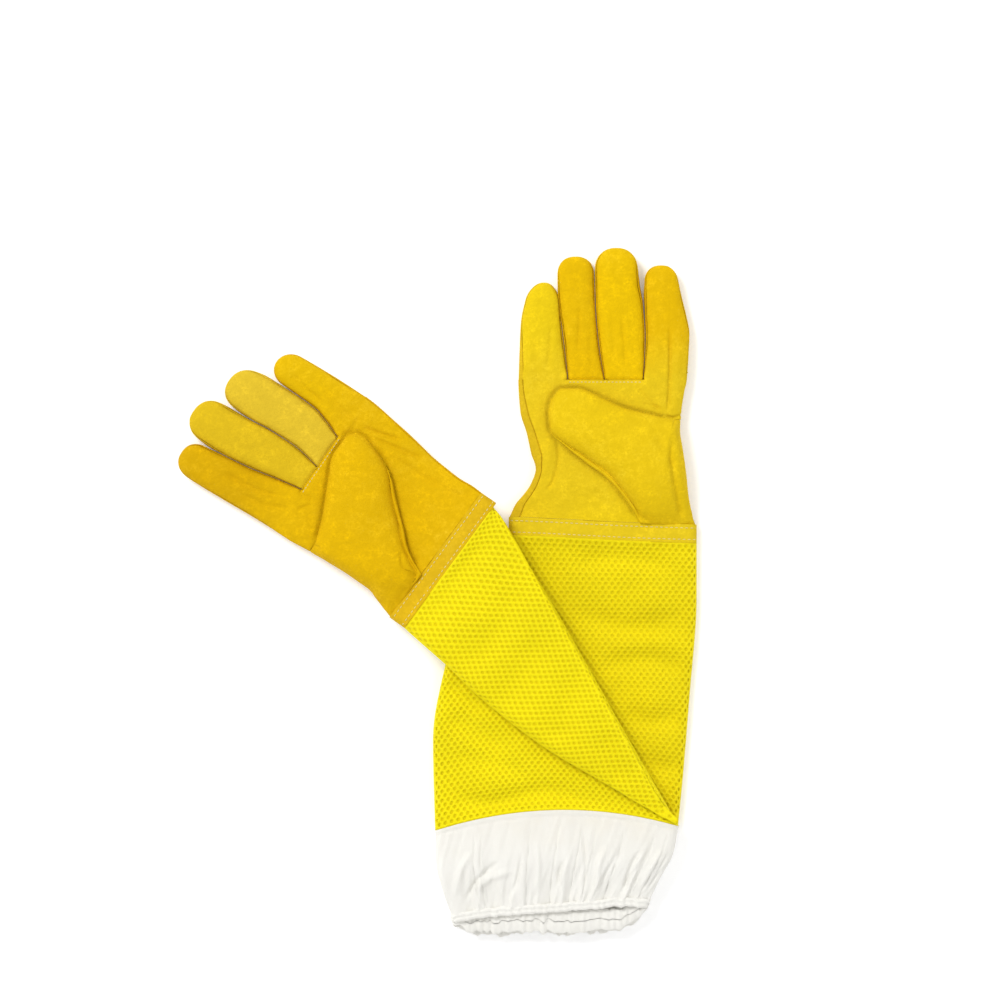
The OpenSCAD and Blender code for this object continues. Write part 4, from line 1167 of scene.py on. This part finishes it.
class Finger:
    """Finger k of hand g: a front, a back and a strip round both of its sides and its tip."""

    def __init__(self, g, k):
        self.g, self.k = g, k
        self.name, self.tip, low, high = FINGERS[g][k]
        self.low, self.high = curve(low), curve(high)
        self.sewn = self.name in ("middle", "ring")
        self.root = 6.0 if self.sewn else 10.0
        self.base = KNUCKLE[g] + (0.3 if self.sewn else 0.2)
        self.bluntness = 2.05 if self.name == "pinky" else 2.3
        self.label = f"{HANDS[g]}_{self.name}"
        self.hide = front_hide(g, self.label, float(self.centre(self.base)), self.base)

    def centre(self, y):
        return (self.low(y) + self.high(y)) / 2

    def half(self, y):
        return (self.high(y) - self.low(y)) / 2

    def bend(self, y):
        """Flat like the hand at the knuckle, rounder further out."""
        return mix(0.46, 0.70, smooth(self.base, self.base + 40, y))

    def outer(self, y):
        """Angle of the front's outer edge: on the pinky it runs on from the seam of the palm."""
        if self.name != "pinky":
            return FRONT_EDGE + 0 * y
        seam_x = hand(self.g, KNUCKLE[self.g], float(SEAM_ANGLE[self.g](KNUCKLE[self.g])))[0]
        share = (self.centre(self.base) - seam_x) / self.half(self.base)
        seam = math.degrees(math.acos(float(share) ** (1 / float(self.bend(self.base)))))
        return mix(seam, FRONT_EDGE, smooth(0, 45, y - self.base))

    def ys(self):
        """Stations from the knuckle to the fingertip, closing up round the tip."""
        cap = 1.02 * float(self.half(self.tip - 14) - FINGER_GAP / 2)
        straight = self.tip - cap - self.base
        low = self.base + stations(straight, 1.8, (0.35, 0.8, 1.4)) * straight
        turn = np.sin(np.radians(np.linspace(0, 89.6, 15)[1:]))
        return np.concatenate([low, self.tip - cap + cap * turn]), cap

    def at(self, y, a):
        """Point of the finger's tube at angle a in degrees, 0 at the thumb side and 90 on top."""
        _, cap = self.ys()
        w = self.half(np.minimum(y, self.tip - 4)) - FINGER_GAP / 2
        d = np.clip(1 - (self.tip - y) / cap, 0, 1)
        close = np.maximum(0, 1 - d ** self.bluntness) ** (1 / self.bluntness)
        c, s = (power(v, self.bend(y)) for v in (np.cos(np.radians(a)), np.sin(np.radians(a))))
        x = self.centre(y) + w * close * c
        rise = FINGER_MID * close ** 0.7 * s
        slab = HAND_TOP(y) / 2 * self.hand_share(x, y) * np.sign(s)
        joined = (1 - smooth(0, self.root, y - self.base)) * smooth(0.2, 0.8, np.abs(s))
        return x, y, FINGER_MID + mix(rise, slab, joined)

    def hand_share(self, x, y):
        """How far out from its middle plane the flat hand reaches at x, from 0 to 1."""
        l, r = HAND_EDGE_PINKY[self.g](y), HAND_EDGE_THUMB[self.g](y)
        c = np.clip(np.abs((x - (l + r) / 2) / ((r - l) / 2)), 0, 1) ** (1 / HAND_SECTION)
        return np.sqrt(np.maximum(0, 1 - c * c)) ** HAND_SECTION

    def swell(self, y, pinky_side):
        """How much a side strip swells towards the next finger, to close the gap between them."""
        towards_thumb = curve(FINGERS[self.g][self.k - 1][2])(y) - self.high(y) if self.k > 0 else 0.0
        towards_pinky = self.low(y) - curve(FINGERS[self.g][self.k + 1][3])(y) if self.k < 3 else 0.0
        gap = np.where(pinky_side, towards_pinky, towards_thumb)
        return 0.45 * np.clip(gap, 0, 1.8) * (1 - smooth(self.tip - 22, self.tip - 10, y))

    def piece(self, suffix, y, a, relief, hide, slot):
        x, y, z = self.at(y, a)
        p = place(self.g, x, y, z)
        if suffix != "front":
            relief = np.where(z < 1.0, np.minimum(relief, 0), relief)
        outward = p - place(self.g, self.centre(y), y, FINGER_MID + 0 * y)
        name = f"{self.label}_{suffix}"
        obj = keep(panel(name, p, FINGER_T, hide, outward, relief), None, [name])
        blend_between(obj, self.g, (0, self.base + 0.4), (0, self.base + 18))

    def build(self, seed):
        ys, cap = self.ys()
        g = self.g
        y, k = grid(ys, stations(34, 0.85, (0.3, 0.7, 1.3)))
        a = spread(FRONT_EDGE, 180 - self.outer(y), k, self.bend(y))
        x, _, _ = self.at(y, a)
        h = folded(x, y, FRONT_FOLDS[g], 100 + g)
        h = h + 0.12 * noise(x, y, 5, seed) * smooth(0, 20, y - self.base)
        h = h + edge_roll(k, 34, 0.7, 1.0) * smooth(0, self.root, y - self.base)
        h = h - 1.2 * np.exp(-((y - self.base) / 1.1) ** 2) * seam_reach(g, x)
        h = h * (1 - smooth(0.9, 1.0, (y - self.tip + cap) / cap) * 0.8)
        front_slot = ("leather_gold", "leather_straw" if self.sewn else "leather_amber")[g]
        self.piece("front", y, a, h, self.hide, front_slot)

        a = spread(FRONT_EDGE, 180 - FRONT_EDGE, k, self.bend(y))
        h = 0.22 * noise(x, y, 14, seed + 7) + edge_roll(k, 34, 0.75, 0.8)
        self.piece("back", y, a + 180, h, BACK_HIDE[g], BACK_SLOT[g])

        # the strip's rows run up the thumb side to the tip and back down the pinky side
        y, t = grid(np.concatenate([ys, ys[::-1]]), np.linspace(-FRONT_EDGE, FRONT_EDGE, 11))
        pinky_side = np.arange(2 * len(ys))[:, None] >= len(ys)
        a = np.where(pinky_side, 180 - np.where(t > 0, t * self.outer(y) / FRONT_EDGE, t), t)
        h = -0.03 + 0.03 * noise(y, t, 9, seed + 9) - 0.4 * np.exp(-((np.abs(t) - FRONT_EDGE) / 2.5) ** 2)
        h = h + self.swell(y, pinky_side) * np.exp(-((t + 8) / 5) ** 2)
        hide = BACK_HIDE[g] if self.name == "pinky" else self.hide
        self.piece("side_strip", y, a, h, hide, FRONT_SLOT[g])


for g in (RIGHT, LEFT):
    palm_panel(g)
    back_panel(g)
    thumb_front(g)
    thumb_back(g)
    wrist_band(g)
    band_stitches(g)
    seam_stitches(g)
    for k in range(4):
        Finger(g, k).build(200 + 40 * g + 10 * k)


# ---------------------------------------------------------------- floor, light and camera
def studio():
    floor_mat = Shader("floor_white", roughness=0.9, specular=0.0)
    floor_mat.feed(floor_mat.bsdf, {"Base Color": (0.98, 0.98, 0.98, 1), "Emission Color": (1, 1, 1, 1),
                                    "Emission Strength": 0.12})
    bpy.ops.mesh.primitive_plane_add(size=8, location=(-0.07, 0.03, -0.0002))
    floor = bpy.context.object
    floor.name = "floor"
    floor.data.materials.append(floor_mat.mat)

    world = bpy.data.worlds.new("studio")
    world.use_nodes = True
    world.node_tree.nodes["Background"].inputs["Color"].default_value = (1, 1, 1, 1)
    world.node_tree.nodes["Background"].inputs["Strength"].default_value = 0.84
    bpy.context.scene.world = world

    for name, place_at, size, energy in (
        ("key_light", (-1.3, 1.3, 2.2), 1.0, 43),
        ("fill_light", (1.2, -1.0, 2.4), 2.2, 8),
    ):
        light = bpy.data.lights.new(name, "AREA")
        light.shape = "DISK"
        light.size = size
        light.energy = energy
        lamp = bpy.data.objects.new(name, light)
        lamp.location = place_at
        aim = np.array([-0.07, 0.0, 0.0]) - np.array(place_at)
        lamp.rotation_euler = Vector(aim).to_track_quat("-Z", "Y").to_euler()
        bpy.context.scene.collection.objects.link(lamp)


def camera():
    """Straight above the gloves, 3 m up, with 0.7 m of floor across the picture."""
    height, view = 3.0, 0.70
    data = bpy.data.cameras.new("camera")
    data.sensor_width = 36
    data.lens = 36 * (height - 0.015) / view
    obj = bpy.data.objects.new("camera", data)
    obj.location = (-0.0721, 0.028, height)
    bpy.context.scene.collection.objects.link(obj)
    bpy.context.scene.camera = obj


studio()
camera()
bpy.context.scene.view_settings.view_transform = "Standard"
